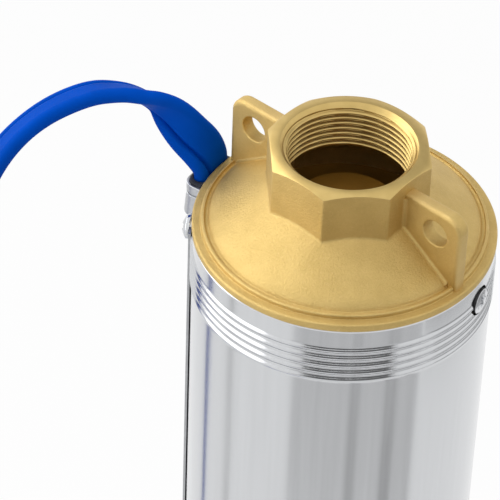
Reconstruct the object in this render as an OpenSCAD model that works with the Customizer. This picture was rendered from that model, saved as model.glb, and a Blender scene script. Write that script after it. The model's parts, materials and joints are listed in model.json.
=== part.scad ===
// Borehole submersible pump: a cast brass delivery head with a check valve, a stainless shell
// round a stack of centrifugal stages, a suction bracket with a strainer, and a filled motor
// below. Millimetres, +Z up. The origin is the centre of the flat foot, on the pump's axis.
// Azimuth 0 looks out along -Y and grows towards +X.

/* [Delivery head] */
// Width by which the rim stands out past the shell
rim_lip = 0.3; // [0.1:0.1:6]
// Height of the rim's wall
rim_h = 2.8; // [2:0.1:5]
// Width of the flat ledge on top of the rim
ledge_w = 2.8; // [1.5:0.1:4]
// Height of the step above the ledge
step_h = 1.7; // [0.8:0.1:3]
// Width of the flat on top of the step
step_w = 2.2; // [1:0.1:4]
// Depth of the turned groove at the foot of the cone
groove_d = 0.7; // [0.3:0.1:1.2]
// Height of the cone
cone_h = 11.8; // [9:0.1:16]
// Wall of the cone, measured level
cone_wall = 8.6; // [6:0.1:9]
// Width of the octagonal neck across its flats
neck_af = 50; // [48:0.1:53]
// Height of the neck above the cone
neck_h = 18.5; // [17:0.1:26]
// Depth of the turned chamfer on the neck's top edge, level
neck_chamfer = 2.4; // [0.8:0.1:3]
// Wall of the skirt
skirt_wall = 6; // [5:0.1:7]

/* [Outlet] */
// Radius of the outlet's wall, at the root of the pipe thread
outlet_r = 20.95; // [18:0.05:21.5]
// Depth of the full-radius mouth, where the pipe screws in
outlet_l = 17; // [14:0.5:18]
// Size of the chamfer at the mouth
mouth_chamfer = 0.9; // [0.4:0.1:1.5]

/* [Lifting lugs] */
// Azimuth of the right lug; the left one is opposite
lug_az = 52.5; // [40:0.5:65]
// Thickness of a lug
lug_t = 5; // [4:0.1:8]
// Distance from the rim's edge in to a lug's outer edge
lug_inset = 2; // [1.5:0.1:4]
// Distance from the neck's top down to a lug's top
lug_drop = 4.3; // [2:0.1:7]
// Radius of a lug's outer top corner
lug_corner = 5.5; // [3:0.1:7]
// Radius of a lug's rope hole
lug_hole_r = 4.5; // [3.5:0.1:5]
// Distance from a lug's outer edge in to the rope hole
lug_hole_in = 9.7; // [8:0.1:11]
// Distance from a lug's top down to the rope hole
lug_hole_drop = 8.8; // [7.5:0.1:10]

/* [Check valve] */
// Radius of the valve seat's port
port_r = 14; // [12:0.1:14.5]
// Width of the raised lip round the port
lip_w = 3; // [2:0.1:3.5]
// Height of the lip above the seat's plate
lip_h = 5; // [4:0.1:6]
// Thickness of the seat's plate
seat_t = 6; // [4:0.1:7]
// Radius of the poppet's disc
poppet_r = 18; // [17.8:0.1:19]
// Thickness of the poppet's disc
poppet_t = 4; // [3:0.1:5]
// Thickness of the rubber seal under the disc
poppet_seal_t = 2; // [1.5:0.1:2.5]
// Radius of the poppet's stem
stem_r = 4; // [3:0.1:4.5]
// Height that the poppet lifts
valve_lift = 6; // [3:0.5:6]
// Length of the guide hub below the seat's plate
guide_l = 4; // [2:0.1:5]
// Turns of the spring
spring_turns = 5; // [3:1:6]
// Radius of the spring's wire
spring_wire_r = 0.6; // [0.4:0.05:0.8]

/* [Pump shell] */
// Outside radius of the pump shell
shell_r = 48.7; // [48:0.1:48.9]
// Wall of the pump shell
shell_wall = 1.6; // [1.2:0.1:2.2]
// Number of rolled ridges that lock the shell to the head
ridge_count = 5; // [3:1:6]
// Spacing of the ridges
ridge_pitch = 3.05; // [2.8:0.05:3.4]
// Height of a ridge
ridge_h = 0.6; // [0.3:0.05:0.8]
// Width of a ridge
ridge_w = 2.6; // [2:0.1:2.7]
// Distance from the rim down to the middle of the first ridge
ridge_drop = 8.2; // [7:0.1:9]

/* [Stages] */
// Number of stages
stage_count = 7; // [4:1:7]
// Height of one stage
stage_pitch = 26; // [25:0.5:34]
// Wall of a stage bowl
bowl_wall = 2; // [1.5:0.1:3]
// Thickness of a bowl's top plate
bowl_floor_t = 2; // [2:0.1:3]
// Height of the return vanes
return_vane_h = 8; // [6:0.1:9]
// Number of return vanes in a bowl
return_vanes = 7; // [5:1:9]
// Radius of an impeller
impeller_r = 36; // [32:0.5:39]
// Outside radius of an impeller's inlet eye
eye_r = 15; // [14:0.1:17]
// Thickness of an impeller's shrouds
shroud_t = 1.5; // [1.2:0.1:2]
// Height of an impeller's vanes
vane_h = 6; // [4:0.1:7]
// Number of vanes in an impeller
vane_count = 6; // [5:1:8]
// Thickness of a vane
vane_t = 1.6; // [1.2:0.1:2.2]
// Outside radius of an impeller's hub
hub_r = 9; // [8.5:0.1:10]
// Radius of the pump shaft
shaft_r = 7; // [6:0.1:7.5]
// Height of the top bearing spider
spider_h = 24; // [22:0.5:32]
// Outside radius of the top bearing bush
bush_r = 11; // [9:0.1:12]

/* [Suction bracket] */
// Thickness of the bracket's lower flange
flange_t = 10; // [9:0.1:14]
// Height of the suction windows
window_h = 64; // [62:0.5:80]
// Height of the shoulder under the shell
shoulder_h = 4; // [3:0.1:6]
// Length of the spigot inside the shell
spigot_l = 26; // [22:0.5:34]
// Width of a column between the windows
column_w = 14; // [12:0.1:18]
// Depth of a column, towards the axis
column_d = 8; // [6:0.1:10]
// Wall of the strainer
strainer_t = 0.8; // [0.6:0.1:1.2]
// Radius of a strainer hole
strainer_hole_r = 2.4; // [1.5:0.1:2.8]
// Rows of strainer holes
strainer_rows = 6; // [4:1:7]
// Strainer holes in a row
strainer_cols = 20; // [12:2:24]

/* [Motor] */
// Step from the pump shell in to the motor's shell
motor_step = 1.1; // [0.7:0.1:1.9]
// Wall of the motor's shell
motor_wall = 1.6; // [1.2:0.1:2.2]
// Length of the stator core
stator_l = 160; // [120:1:220]
// Length of the windings past each end of the core
overhang = 26; // [18:0.5:32]
// Clear length between the windings and the brackets
end_room = 10; // [6:0.5:16]
// Radius of the rotor core
rotor_r = 21.5; // [20:0.1:22]
// Gap between the rotor and the stator
air_gap = 0.6; // [0.4:0.1:0.9]
// Number of stator slots
slot_count = 18; // [12:6:24]
// Radius of the motor shaft at its bearings
journal_r = 8.5; // [8:0.1:9.5]
// Outside radius of the motor's bearing bushes
motor_bush_r = 13; // [12:0.1:14]
// Height of the upper bracket above the motor's shell
upper_h = 28; // [26:0.5:36]
// Length of the upper bracket inside the motor's shell
upper_plug_l = 40; // [34:0.5:50]
// Length of the lower bracket inside the motor's shell
lower_plug_l = 34; // [32:0.5:44]
// Height of the end cap
end_cap_h = 24; // [20:0.5:34]
// Thickness of the end cap's floor
end_floor_t = 5; // [4:0.1:7]
// Length of motor shaft above the motor's flange
shaft_stick_out = 38.1; // [36:0.1:40]
// Distance from the motor's outside in to the circle of flange studs
stud_edge = 9.5; // [8.6:0.1:10.6]
// Radius of a flange stud
stud_r = 4; // [3.5:0.1:4.5]

/* [Cable and guard] */
// Azimuth of the cable guard
lead_az = -120; // [-125:1:-115]
// Width of the flat cable
cable_w = 15; // [12:0.1:16]
// Thickness of the flat cable
cable_t = 5; // [4:0.1:6]
// Sheet thickness of the guard
guard_t = 0.8; // [0.6:0.1:1.2]
// Outside corner radius of the guard's channel
guard_corner = 3.2; // [2.5:0.1:3.4]
// Half angle of the guard's wings
wing_angle = 29; // [27:0.5:32]
// Angle from the guard's middle to its screws
guard_screw_angle = 22.5; // [21:0.5:24]
// Height of the rubber grommet at the guard's top
grommet_h = 7; // [6:0.1:10]
// Height of the saddle's band round the grommet
band_h = 3.3; // [2:0.1:4]
// Length of the saddle's skirt over the guard
saddle_skirt_h = 8.5; // [6:0.1:10]
// Outward step of the saddle's skirt
saddle_flare = 0.6; // [0.4:0.1:1.5]

/* [Screws] */
// Azimuth of the head's lock screw
lock_az = 65; // [60:1:72]
// Distance from the rim down to the top screws
screw_drop = 8.5; // [8:0.1:10]
// Radius of the screws' shanks
screw_r = 2.5; // [2:0.1:2.8]
// Radius of the screws' pan heads
screw_head_r = 4.3; // [4:0.1:4.6]
// Height of the screws' pan heads
screw_head_h = 2.8; // [2:0.1:3.4]
// Length of the screws' shanks in the brass
screw_l = 5; // [4:0.1:5.4]

/* [Hidden] */
$fn = 64;
// Clearance of pieces that seat in each other, and of running fits
seat_c = 0.05;
run_c = 0.05;
// Gap between pieces that move apart, and running gap round the impellers
rest_gap = 0.3;
wear_gap = 0.35;
// Extra length of a cutting shape past the face that it cuts
cut = 1;

// Lengths that the check valve needs: its spring, and the head's skirt round it
shoulder_drop = 2;
retainer_t = 3;
spring_l = valve_lift + 2 * spring_wire_r * spring_turns + 1;
skirt_l = shoulder_drop + seat_t + guide_l + spring_l + retainer_t + 2;

// Levels, from the foot up
z_motor = end_cap_h;
motor_shell_l = lower_plug_l + 2 * (end_room + overhang) + stator_l + upper_plug_l;
z_upper = z_motor + motor_shell_l;
z_flange = z_upper + upper_h;
z_window = z_flange + flange_t;
z_shoulder = z_window + window_h;
z_shell = z_shoulder + shoulder_h;
z_stack = z_shell + spigot_l;
z_spider = z_stack + stage_count * stage_pitch;
z_skirt = z_spider + spider_h;
z_rim = z_skirt + skirt_l;
z_ledge = z_rim + rim_h;
z_step = z_ledge + step_h;
z_cone = z_step + cone_h;
z_neck = z_cone + neck_h;
z_screw = z_rim - screw_drop;

// Radii that follow from the shell and the head
rim_r = shell_r + rim_lip;
shell_in = shell_r - shell_wall;
seat_r = shell_in - seat_c;
skirt_in = seat_r - skirt_wall;
step_r = rim_r - ledge_w;
cone_r = step_r - step_w;
neck_corner_r = neck_af / 2 / cos(22.5);
cavity_r = cone_r - cone_wall;
throat_relief = 0.8;
// The cone runs on inside the neck's flats
cone_top_r = neck_af / 2 - 1;
z_cone_top = z_cone + (neck_corner_r - cone_top_r) * cone_h / (cone_r - neck_corner_r);
lug_reach = rim_r - lug_inset;
lug_hole_x = lug_reach - lug_hole_in;
lug_top = z_neck - lug_drop;
lug_hole_z = lug_top - lug_hole_drop;

neck_chamfer_angle = 35;

// Cross recess of the pan heads
recess_w = 1.1;
recess_l = 4.6;
recess_d = 1.4;

// Check valve
z_seat = z_rim - shoulder_drop;
z_lip = z_seat + lip_h;
z_seal = z_lip + rest_gap;
z_disc = z_seal + poppet_seal_t;
guide_r = stem_r + 3.5;
z_guide = z_seat - seat_t - guide_l;
z_retainer = z_guide - rest_gap - spring_l - rest_gap;
spring_r = stem_r + 0.9 + spring_wire_r;
sleeve_wall = 3;

// O-ring on the skirt
ring_r = 0.9;
ring_z = z_skirt + 5;

// Motor
motor_r = shell_r - motor_step;
stud_pcd_r = motor_r - stud_edge;
motor_in = motor_r - motor_wall;
motor_seat_r = motor_in - seat_c;
z_core = z_motor + lower_plug_l + end_room + overhang;
bore_r = rotor_r + air_gap;
slot_in = bore_r + 2;
slot_out = slot_in + 11.5;
slot_w = 4;
plug_wall = 6;
bearing_l = 28;
housing_r = motor_bush_r + 6;
thrust_r = motor_bush_r + 4;
seal_pocket = 14;
z_seal_ring = z_flange - seal_pocket;
seal_ring_t = 7;
z_seal_face = z_seal_ring + seal_ring_t + rest_gap;
slinger_lift = 3;
z_slinger = z_flange + slinger_lift;
slinger_h = 6;
slinger_w = 11;
slinger_r = shaft_r + slinger_w;
coupling_wall = 6;
coupling_key_r = 2;
shaft_end_gap = 3;
coupling_r = shaft_r + coupling_wall;
z_coupling = z_slinger + slinger_h + 1;
coupling_l = 2 * (z_flange + shaft_stick_out + shaft_end_gap / 2 - z_coupling);
thrust_room = 17;
runner_t = 7;
z_runner = z_motor + 9;
vent_l = 20;
vent_r = 4;
plug_bore_l = 16;
plug_in_l = 10;
cap_wall = 7.5;
cap_screw_r = 2;
cap_screw_l = 8;
cap_sink = 4;
cap_screw_pcd_r = motor_r - 4.8;
diaphragm_t = 1.5;

// Studs and nuts of the motor's flange
stud_depth = 13;
stud_azs = [for (a = [45:90:315]) lead_az + a];
nut_h = 6.5;
nut_r = stud_r * 1.85;

// Strainer sits on the columns
strainer_r = shell_r - 0.9;
column_r = strainer_r - strainer_t - seat_c;
strainer_margin = 8;
strainer_screw_r = 1.5;
strainer_screw_z = z_shoulder - 5;
strainer_screw_azs = [for (a = [90, 180, 270]) lead_az + a];

// Guard channel, in the plane across the lead. The wings clear the ridges.
wing_r = shell_r + ridge_h + seat_c;
lead_r = wing_r + 0.1 + cable_t / 2;
guard_top_r = lead_r + cable_t / 2 + 0.1 + guard_t;
guard_half = cable_w / 2 + 0.9 + guard_t;
z_plug = z_upper + 11;
plug_half = 8;
lead_plug_r = 6;
z_guard_foot = z_plug - plug_half - 2;
z_guard_top = z_rim - grommet_h;
saddle_t = 0.8;
saddle_gap = 0.15;
saddle_neck_h = 0.6;
z_band = z_rim - 1 - band_h;
z_saddle = z_band - saddle_neck_h - saddle_skirt_h;
guard_azs = [lead_az - guard_screw_angle, lead_az + guard_screw_angle];
z_guard_screws = [z_flange + flange_t / 2, z_screw];

// Free cable: points from the grommet, as offsets from the lead's exit, then absolute points
// down to the floor. Each has the place of the cable's middle and the direction of its width.
lead_x = lead_r * sin(lead_az);
lead_y = -lead_r * cos(lead_az);
arch = [
    [[0, 0, 0], [-0.5, -0.87, 0]],
    [[0, 0, 3], [-0.55, -0.83, 0]],
    [[-1.5, 0, 6.5], [-0.65, -0.7, -0.25]],
    [[-4, 0.5, 10], [-0.75, -0.45, -0.45]],
    [[-7.5, 1, 13.5], [-0.75, -0.3, -0.6]],
    [[-13, 2.5, 20], [-0.45, 0.15, -0.85]],
    [[-17.5, 3.5, 23], [-0.15, 0.55, -0.8]],
    [[-21, 4.5, 24], [0, 0.75, -0.65]],
    [[-27, 5, 25.5], [0, 0.85, -0.5]],
    [[-33, 5, 25.5], [-0.05, 0.9, -0.4]],
    [[-39, 4.5, 25], [-0.1, 0.95, -0.3]],
    [[-46, 2.5, 23], [-0.2, 0.95, -0.3]],
    [[-53, 0, 20], [-0.3, 0.9, -0.35]],
    [[-59.5, -4, 16.5], [-0.3, 0.85, -0.4]],
    [[-65, -8, 12], [-0.35, 0.85, -0.4]],
    [[-70, -11, 5], [-0.3, 0.9, -0.3]],
    [[-74, -13, -5], [-0.25, 0.95, -0.15]],
    [[-77, -14, -18], [-0.2, 1, 0]],
    [[-79, -13, -38], [-0.2, 1, 0]],
    [[-80, -10, -65], [-0.3, 1, 0]],
    [[-80, -6, -105], [-0.4, 0.9, 0]]
];
drop = [
    [[-125, 23, 540], [-0.6, 0.8, 0]],
    [[-126, 25, 460], [-0.75, 0.65, 0]],
    [[-126, 26, 380], [-0.85, 0.5, 0]],
    [[-126, 26, 300], [-0.95, 0.3, 0]],
    [[-126, 26, 220], [-1, 0.1, 0]],
    [[-126, 26, 150], [-1, 0, 0]],
    [[-126, 25, 100], [-1, 0, 0]],
    [[-126, 23, 65], [-1, 0, 0]],
    [[-126, 17, 38], [-0.95, 0, -0.3]],
    [[-126, 7, 20], [-0.8, 0, -0.6]],
    [[-126, -6, 11], [-0.5, 0, -0.85]],
    [[-126, -19, 9], [-0.1, 0, -1]]
];
route = concat([for (a = arch) [a[0] + [lead_x, lead_y, z_rim], a[1]]], drop);

// Coil of the length that lies on the floor
coil_x = -210;
coil_y = -45;
coil_out_r = 84;
coil_turns = 3;
coil_pitch = 5.5;
coil_z = 9;
coil_in_r = coil_out_r - coil_turns * coil_pitch;
tie_w = 9;
tie_t = 0.8;
tie_angle = 150;

// Turns local +X to an azimuth
module toward(az) {
    rotate([0, 0, az - 90]) children();
}

module tube(r_out, r_in, h) {
    difference() {
        cylinder(h = h, r = r_out);
        translate([0, 0, -cut]) cylinder(h = h + 2 * cut, r = r_in);
    }
}

// Round bar or bore along local +X, from one distance to another
module radial_rod(r, from, to) {
    translate([from, 0, 0]) rotate([0, 90, 0]) cylinder(h = to - from, r = r);
}

// Pan-head screw along local -X, its head seated at distance x
module pan_screw(x, reach) {
    radial_rod(screw_r - seat_c, reach, x + cut / 2);
    difference() {
        radial_rod(screw_head_r, x, x + screw_head_h);
        translate([x + screw_head_h - recess_d, 0, 0]) recess_cross();
    }
}

module recess_cross() {
    for (a = [0, 90]) {
        rotate([a, 0, 0]) translate([0, -recess_w / 2, -recess_l / 2]) {
            cube([screw_head_h, recess_w, recess_l]);
        }
    }
}

// Section of the flat cable: straight faces and round edges
module cable_section() {
    square([cable_t, cable_w - cable_t], center = true);
    for (s = [-1, 1]) {
        translate([0, s * (cable_w - cable_t) / 2]) circle(r = cable_t / 2);
    }
}

// Outline of the guard's channel across the lead, grown by a distance on its three free sides
module channel_outline(grow) {
    half = guard_half + grow;
    top = guard_top_r + grow;
    corner = guard_corner + grow;
    intersection() {
        translate([wing_r, -half]) square([top - wing_r, 2 * half]);
        union() {
            translate([wing_r, -half]) square([top - corner - wing_r, 2 * half]);
            translate([wing_r, corner - half]) square([top - wing_r, 2 * (half - corner)]);
            for (s = [-1, 1]) {
                translate([top - corner, s * (half - corner)]) circle(r = corner);
            }
        }
    }
}

// Half of the head above the rim, turned: ledge, step, groove and cone
module head_turning() {
    rotate_extrude() {
        polygon([[0, z_skirt], [seat_r, z_skirt], [seat_r, z_rim], [rim_r, z_rim],
                 [rim_r, z_ledge - 0.4], [rim_r - 0.4, z_ledge], [step_r, z_ledge],
                 [step_r, z_step - 0.3], [step_r - 0.3, z_step], [cone_r + 0.8, z_step],
                 [cone_r + 0.8, z_step - groove_d], [cone_r, z_step - groove_d], [cone_r, z_step],
                 [cone_top_r, z_cone_top], [0, z_cone_top]]);
    }
}

// Octagonal neck with its top edge turned back like a nut's
module head_neck() {
    intersection() {
        translate([0, 0, z_step]) rotate([0, 0, 22.5]) {
            cylinder(h = z_neck - z_step, r = neck_corner_r, $fn = 8);
        }
        rotate_extrude() {
            polygon([[0, z_step - cut], [2 * neck_corner_r, z_step - cut],
                     [2 * neck_corner_r, z_neck - (neck_corner_r + neck_chamfer) * tan(neck_chamfer_angle)],
                     [neck_corner_r - neck_chamfer, z_neck], [0, z_neck]]);
        }
    }
}

module head_lug() {
    inner = neck_af / 2 - 2;
    foot = z_ledge - rim_h / 3;
    rotate([90, 0, 0]) linear_extrude(lug_t, center = true) {
        translate([inner, foot]) square([lug_reach - inner, lug_top - lug_corner - foot]);
        translate([inner, foot]) square([lug_reach - lug_corner - inner, lug_top - foot]);
        translate([lug_reach - lug_corner, lug_top - lug_corner]) circle(r = lug_corner);
    }
}

// Waterway through the head: skirt, cavity that follows the cone, outlet and its chamfer
module head_waterway() {
    z_throat = z_neck - outlet_l;
    rotate_extrude() {
        polygon([[0, z_skirt - cut], [skirt_in, z_skirt - cut], [skirt_in, z_seat], [cavity_r, z_seat],
                 [cavity_r, z_step], [outlet_r + throat_relief, z_throat], [outlet_r, z_throat],
                 [outlet_r, z_neck - mouth_chamfer],
                 [outlet_r + mouth_chamfer + cut, z_neck + cut], [0, z_neck + cut]]);
    }
}

module delivery_head() {
    color("goldenrod") difference() {
        union() {
            head_turning();
            toward(lug_az) head_neck();
            for (side = [0, 180]) {
                toward(lug_az + side) head_lug();
            }
        }
        head_waterway();
        for (side = [0, 180]) {
            toward(lug_az + side) translate([lug_hole_x, 0, lug_hole_z]) rotate([90, 0, 0]) {
                cylinder(h = lug_t + 2 * cut, r = lug_hole_r, center = true);
            }
        }
        translate([0, 0, ring_z - ring_r - 0.3]) {
            tube(seat_r + cut, shell_in - 2 * ring_r - seat_c, 2 * ring_r + 0.6);
        }
        for (az = [guard_azs[0], guard_azs[1], lock_az]) {
            toward(az) translate([0, 0, z_screw]) {
                radial_rod(screw_r, seat_r - screw_l - 0.5, rim_r + 2 * cut);
            }
        }
    }
}

module head_o_ring() {
    color("dimgray") translate([0, 0, ring_z]) rotate_extrude() {
        translate([shell_in - ring_r - seat_c / 2, 0]) circle(r = ring_r);
    }
}

module head_lock_screw() {
    color("silver") toward(lock_az) translate([0, 0, z_screw]) pan_screw(seat_r + seat_c, seat_r - screw_l);
}

// Plate with a raised lip, a stem guide on three arms, and a sleeve clamped below the shoulder
module valve_seat() {
    port_plate_r = skirt_in - seat_c;
    color("peru") difference() {
        union() {
            rotate_extrude() {
                polygon([[port_r, z_seat - seat_t], [port_plate_r - sleeve_wall, z_seat - seat_t],
                         [port_plate_r - sleeve_wall, z_skirt], [port_plate_r, z_skirt],
                         [port_plate_r, z_seat], [port_r + lip_w + 2, z_seat],
                         [port_r + lip_w, z_lip], [port_r, z_lip]]);
            }
            translate([0, 0, z_guide]) cylinder(h = seat_t + guide_l, r = guide_r);
            for (a = [0, 120, 240]) {
                rotate([0, 0, a]) translate([guide_r - 1, -1.5, z_seat - seat_t]) {
                    cube([port_r - guide_r + 2, 3, seat_t]);
                }
            }
        }
        translate([0, 0, z_guide - cut]) cylinder(h = seat_t + guide_l + 2 * cut, r = stem_r + run_c);
    }
}

module check_valve_poppet() {
    color("saddlebrown") rotate_extrude() {
        polygon([[0, z_retainer - retainer_t], [stem_r, z_retainer - retainer_t], [stem_r, z_disc],
                 [poppet_r, z_disc],
                 [poppet_r, z_disc + poppet_t - 0.8], [poppet_r - 0.8, z_disc + poppet_t],
                 [0, z_disc + poppet_t]]);
    }
}

module poppet_seal() {
    color("dimgray") translate([0, 0, z_seal]) tube(poppet_r - 0.3, stem_r + seat_c, poppet_seal_t);
}

// Coil spring on the stem between the guide and the retainer
module poppet_spring() {
    sides = 8;
    per_turn = 20;
    count = spring_turns * per_turn;
    low = z_retainer + rest_gap + spring_wire_r;
    rise = spring_l - 2 * spring_wire_r;
    points = [for (i = [0:count]) for (j = [0:sides - 1])
        let (a = 360 * i / per_turn, b = 360 * j / sides, r = spring_r + spring_wire_r * cos(b))
        [r * cos(a), r * sin(a), low + rise * i / count + spring_wire_r * sin(b)]];
    walls = [for (i = [0:count - 1]) for (j = [0:sides - 1])
        let (k = (j + 1) % sides, p = i * sides, q = p + sides)
        each [[p + j, q + j, q + k], [p + j, q + k, p + k]]];
    ends = [[for (j = [0:sides - 1]) j], [for (j = [0:sides - 1]) (count + 1) * sides - 1 - j]];
    color("silver") polyhedron(points, concat(walls, ends));
}

module spring_retainer() {
    color("gold") translate([0, 0, z_retainer - retainer_t + rest_gap]) {
        tube(spring_r + 2 * spring_wire_r, stem_r + seat_c, retainer_t - rest_gap);
    }
}

// Shell turned from one section, with rounded ridges rolled over the head's skirt
module shell_section() {
    arc_r = (ridge_w * ridge_w / 4 + ridge_h * ridge_h) / (2 * ridge_h);
    translate([shell_in, z_shell]) square([shell_wall, z_rim - z_shell]);
    for (i = [0:ridge_count - 1]) {
        intersection() {
            translate([shell_r + ridge_h - arc_r, z_rim - ridge_drop - i * ridge_pitch]) {
                circle(r = arc_r);
            }
            translate([shell_r - shell_wall / 2, z_shell]) square([shell_wall, z_rim - z_shell]);
        }
    }
}

module pump_shell() {
    color("lightgray") difference() {
        rotate_extrude() shell_section();
        toward(lock_az) translate([0, 0, z_screw]) {
            radial_rod(screw_head_r + 0.9, shell_in - cut, shell_r + 2 * cut);
        }
        for (az = guard_azs) {
            toward(az) translate([0, 0, z_screw]) {
                radial_rod(screw_r + 0.2, shell_in - cut, shell_r + 2 * cut);
            }
        }
    }
}

module top_bearing_spider() {
    ring_in = skirt_in;
    hub_z = z_spider + spider_h / 2;
    color("burlywood") difference() {
        union() {
            translate([0, 0, z_spider]) tube(seat_r, ring_in, spider_h);
            translate([0, 0, hub_z]) cylinder(h = spider_h / 2, r = bush_r + 4);
            for (a = [0, 90, 180, 270]) {
                rotate([0, 0, a]) translate([bush_r + 2, -2.5, hub_z]) {
                    cube([ring_in - bush_r - 1, 5, spider_h / 2 - 2]);
                }
            }
        }
        translate([0, 0, z_spider - cut]) cylinder(h = spider_h + 2 * cut, r = bush_r + seat_c);
    }
}

module top_bearing_bush() {
    color("dimgray") translate([0, 0, z_spider + spider_h / 2]) tube(bush_r, shaft_r + run_c, spider_h / 2);
}

// Shaft with a collar under the first impeller
module pump_shaft() {
    z_low = z_flange + shaft_stick_out + shaft_end_gap;
    z_collar = z_stack + shroud_t;
    color("silver") rotate_extrude() {
        polygon([[0, z_low], [shaft_r, z_low],
                 [shaft_r, z_collar - 4], [hub_r, z_collar - 4], [hub_r, z_collar], [shaft_r, z_collar],
                 [shaft_r, z_skirt - 2.6], [shaft_r - 0.6, z_skirt - 2], [0, z_skirt - 2]]);
    }
}

module impeller_lock_nut() {
    color("gold") translate([0, 0, z_spider + shroud_t]) difference() {
        cylinder(h = spider_h / 2 - 4, r = hub_r + 2.5, $fn = 6);
        translate([0, 0, -cut]) cylinder(h = spider_h, r = shaft_r + seat_c);
    }
}

// One curved vane: an arc of a circle that is off the axis, kept between two radii
module vane_plan(r_in, r_out) {
    off = r_out * 0.56;
    arc_r = off + 2;
    intersection() {
        translate([off, 0]) difference() {
            circle(r = arc_r + vane_t / 2);
            circle(r = arc_r - vane_t / 2);
        }
        difference() {
            circle(r = r_out);
            circle(r = r_in);
        }
        translate([-2 * r_out, 0]) square([4 * r_out, 2 * r_out]);
    }
}

// Closed impeller: eye ring, front shroud, vanes, back shroud and a hub as long as the stage
module impeller(i) {
    z = z_stack + (i - 1) * stage_pitch;
    z_front = shroud_t - 0.3;
    z_vane = z_front + shroud_t;
    z_back = z_vane + vane_h;
    color("ivory") translate([0, 0, z]) difference() {
        union() {
            translate([0, 0, 0.2 - bowl_floor_t]) {
                tube(eye_r, eye_r - shroud_t, bowl_floor_t + z_vane - 0.2);
            }
            translate([0, 0, z_front]) tube(impeller_r, eye_r - shroud_t, shroud_t);
            translate([0, 0, z_vane - 0.1]) linear_extrude(vane_h + 0.2) {
                for (v = [0:vane_count - 1]) {
                    rotate(360 * v / vane_count) vane_plan(hub_r - 1, impeller_r - 0.2);
                }
            }
            translate([0, 0, z_back]) cylinder(h = shroud_t, r = impeller_r);
            translate([0, 0, shroud_t]) cylinder(h = stage_pitch, r = hub_r);
        }
        translate([0, 0, -bowl_floor_t]) cylinder(h = 2 * stage_pitch, r = shaft_r + seat_c);
    }
}

// Bowl round one impeller: wall, guide plate, return vanes and the next stage's eye plate
module stage_bowl(i) {
    z = z_stack + (i - 1) * stage_pitch;
    z_floor = stage_pitch - bowl_floor_t;
    z_return = z_floor - return_vane_h;
    plate_r = impeller_r + 3;
    color("wheat") translate([0, 0, z]) {
        tube(seat_r, seat_r - bowl_wall, stage_pitch);
        translate([0, 0, z_floor]) tube(seat_r - bowl_wall / 2, eye_r + wear_gap, bowl_floor_t);
        translate([0, 0, z_return - shroud_t]) tube(plate_r, hub_r + wear_gap, shroud_t);
        translate([0, 0, z_return - 0.1]) linear_extrude(return_vane_h + 0.2) {
            for (v = [0:return_vanes - 1]) {
                rotate(360 * v / return_vanes) mirror([0, 1]) vane_plan(eye_r + 2, plate_r - 0.2);
            }
        }
    }
}

module shaft_coupling() {
    color("silver") translate([0, 0, z_coupling]) difference() {
        tube(coupling_r, shaft_r + seat_c, coupling_l);
        for (z = [coupling_l * 0.2, coupling_l * 0.8]) {
            translate([0, 0, z]) radial_rod(coupling_key_r, shaft_r, coupling_r + cut);
        }
    }
}

// Casting with a flange on the motor, four columns, a shoulder under the shell and a spigot in it
module suction_bracket() {
    throat_r = eye_r + wear_gap;
    hall_r = column_r - column_d;
    color("goldenrod") difference() {
        union() {
            translate([0, 0, z_flange]) cylinder(h = flange_t, r = column_r);
            translate([0, 0, z_window - cut]) intersection() {
                tube(column_r, hall_r, window_h + 2 * cut);
                for (a = [0:90:270]) {
                    toward(lead_az + a) translate([0, -column_w / 2, 0]) {
                        cube([shell_r, column_w, window_h + 2 * cut]);
                    }
                }
            }
            translate([0, 0, z_shoulder]) cylinder(h = shoulder_h, r = shell_r);
            translate([0, 0, z_shell]) cylinder(h = spigot_l, r = seat_r);
        }
        translate([0, 0, z_flange - cut]) cylinder(h = flange_t + 2 * cut, r = stud_pcd_r - 9);
        rotate_extrude() {
            polygon([[0, z_shoulder - cut], [hall_r, z_shoulder - cut], [hall_r, z_shell + 2],
                     [throat_r, z_stack - 3], [throat_r, z_stack + cut], [0, z_stack + cut]]);
        }
        for (az = stud_azs) {
            toward(az) translate([stud_pcd_r, 0, z_flange - cut]) {
                cylinder(h = flange_t + 2 * cut, r = stud_r + 0.25);
            }
        }
        for (az = strainer_screw_azs) {
            toward(az) translate([0, 0, strainer_screw_z]) {
                radial_rod(strainer_screw_r + seat_c, column_r - 6, column_r + cut);
            }
        }
        for (az = guard_azs) {
            toward(az) translate([0, 0, z_guard_screws[0]]) {
                radial_rod(screw_r, seat_r - screw_l - 0.5, shell_r);
            }
        }
    }
}

// Perforated sheet wrapped round the columns
module suction_strainer() {
    row_step = (window_h - 2 * strainer_margin) / (strainer_rows - 1);
    color("silver") difference() {
        translate([0, 0, z_window + 0.2]) tube(strainer_r, strainer_r - strainer_t, window_h - 0.4);
        for (row = [0:strainer_rows - 1]) {
            for (col = [0:strainer_cols - 1]) {
                toward(lead_az + 360 / strainer_cols * (col + 0.5)) {
                    translate([0, 0, z_window + strainer_margin + row * row_step]) {
                        radial_rod(strainer_hole_r, column_r - cut, strainer_r + cut);
                    }
                }
            }
        }
        for (az = strainer_screw_azs) {
            toward(az) translate([0, 0, strainer_screw_z]) {
                radial_rod(strainer_screw_r + 0.3, column_r - cut, strainer_r + cut);
            }
        }
    }
}

module strainer_screws() {
    color("silver") for (az = strainer_screw_azs) {
        toward(az) translate([0, 0, strainer_screw_z]) {
            radial_rod(strainer_screw_r, column_r - 5, strainer_r + 0.2);
            radial_rod(2 * strainer_screw_r, strainer_r + seat_c, strainer_r + strainer_screw_r);
        }
    }
}

module flange_studs() {
    color("silver") for (az = stud_azs) {
        toward(az) translate([stud_pcd_r, 0, z_flange - stud_depth]) {
            cylinder(h = stud_depth + flange_t + 1.5 * nut_h, r = stud_r - seat_c);
        }
    }
}

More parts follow.
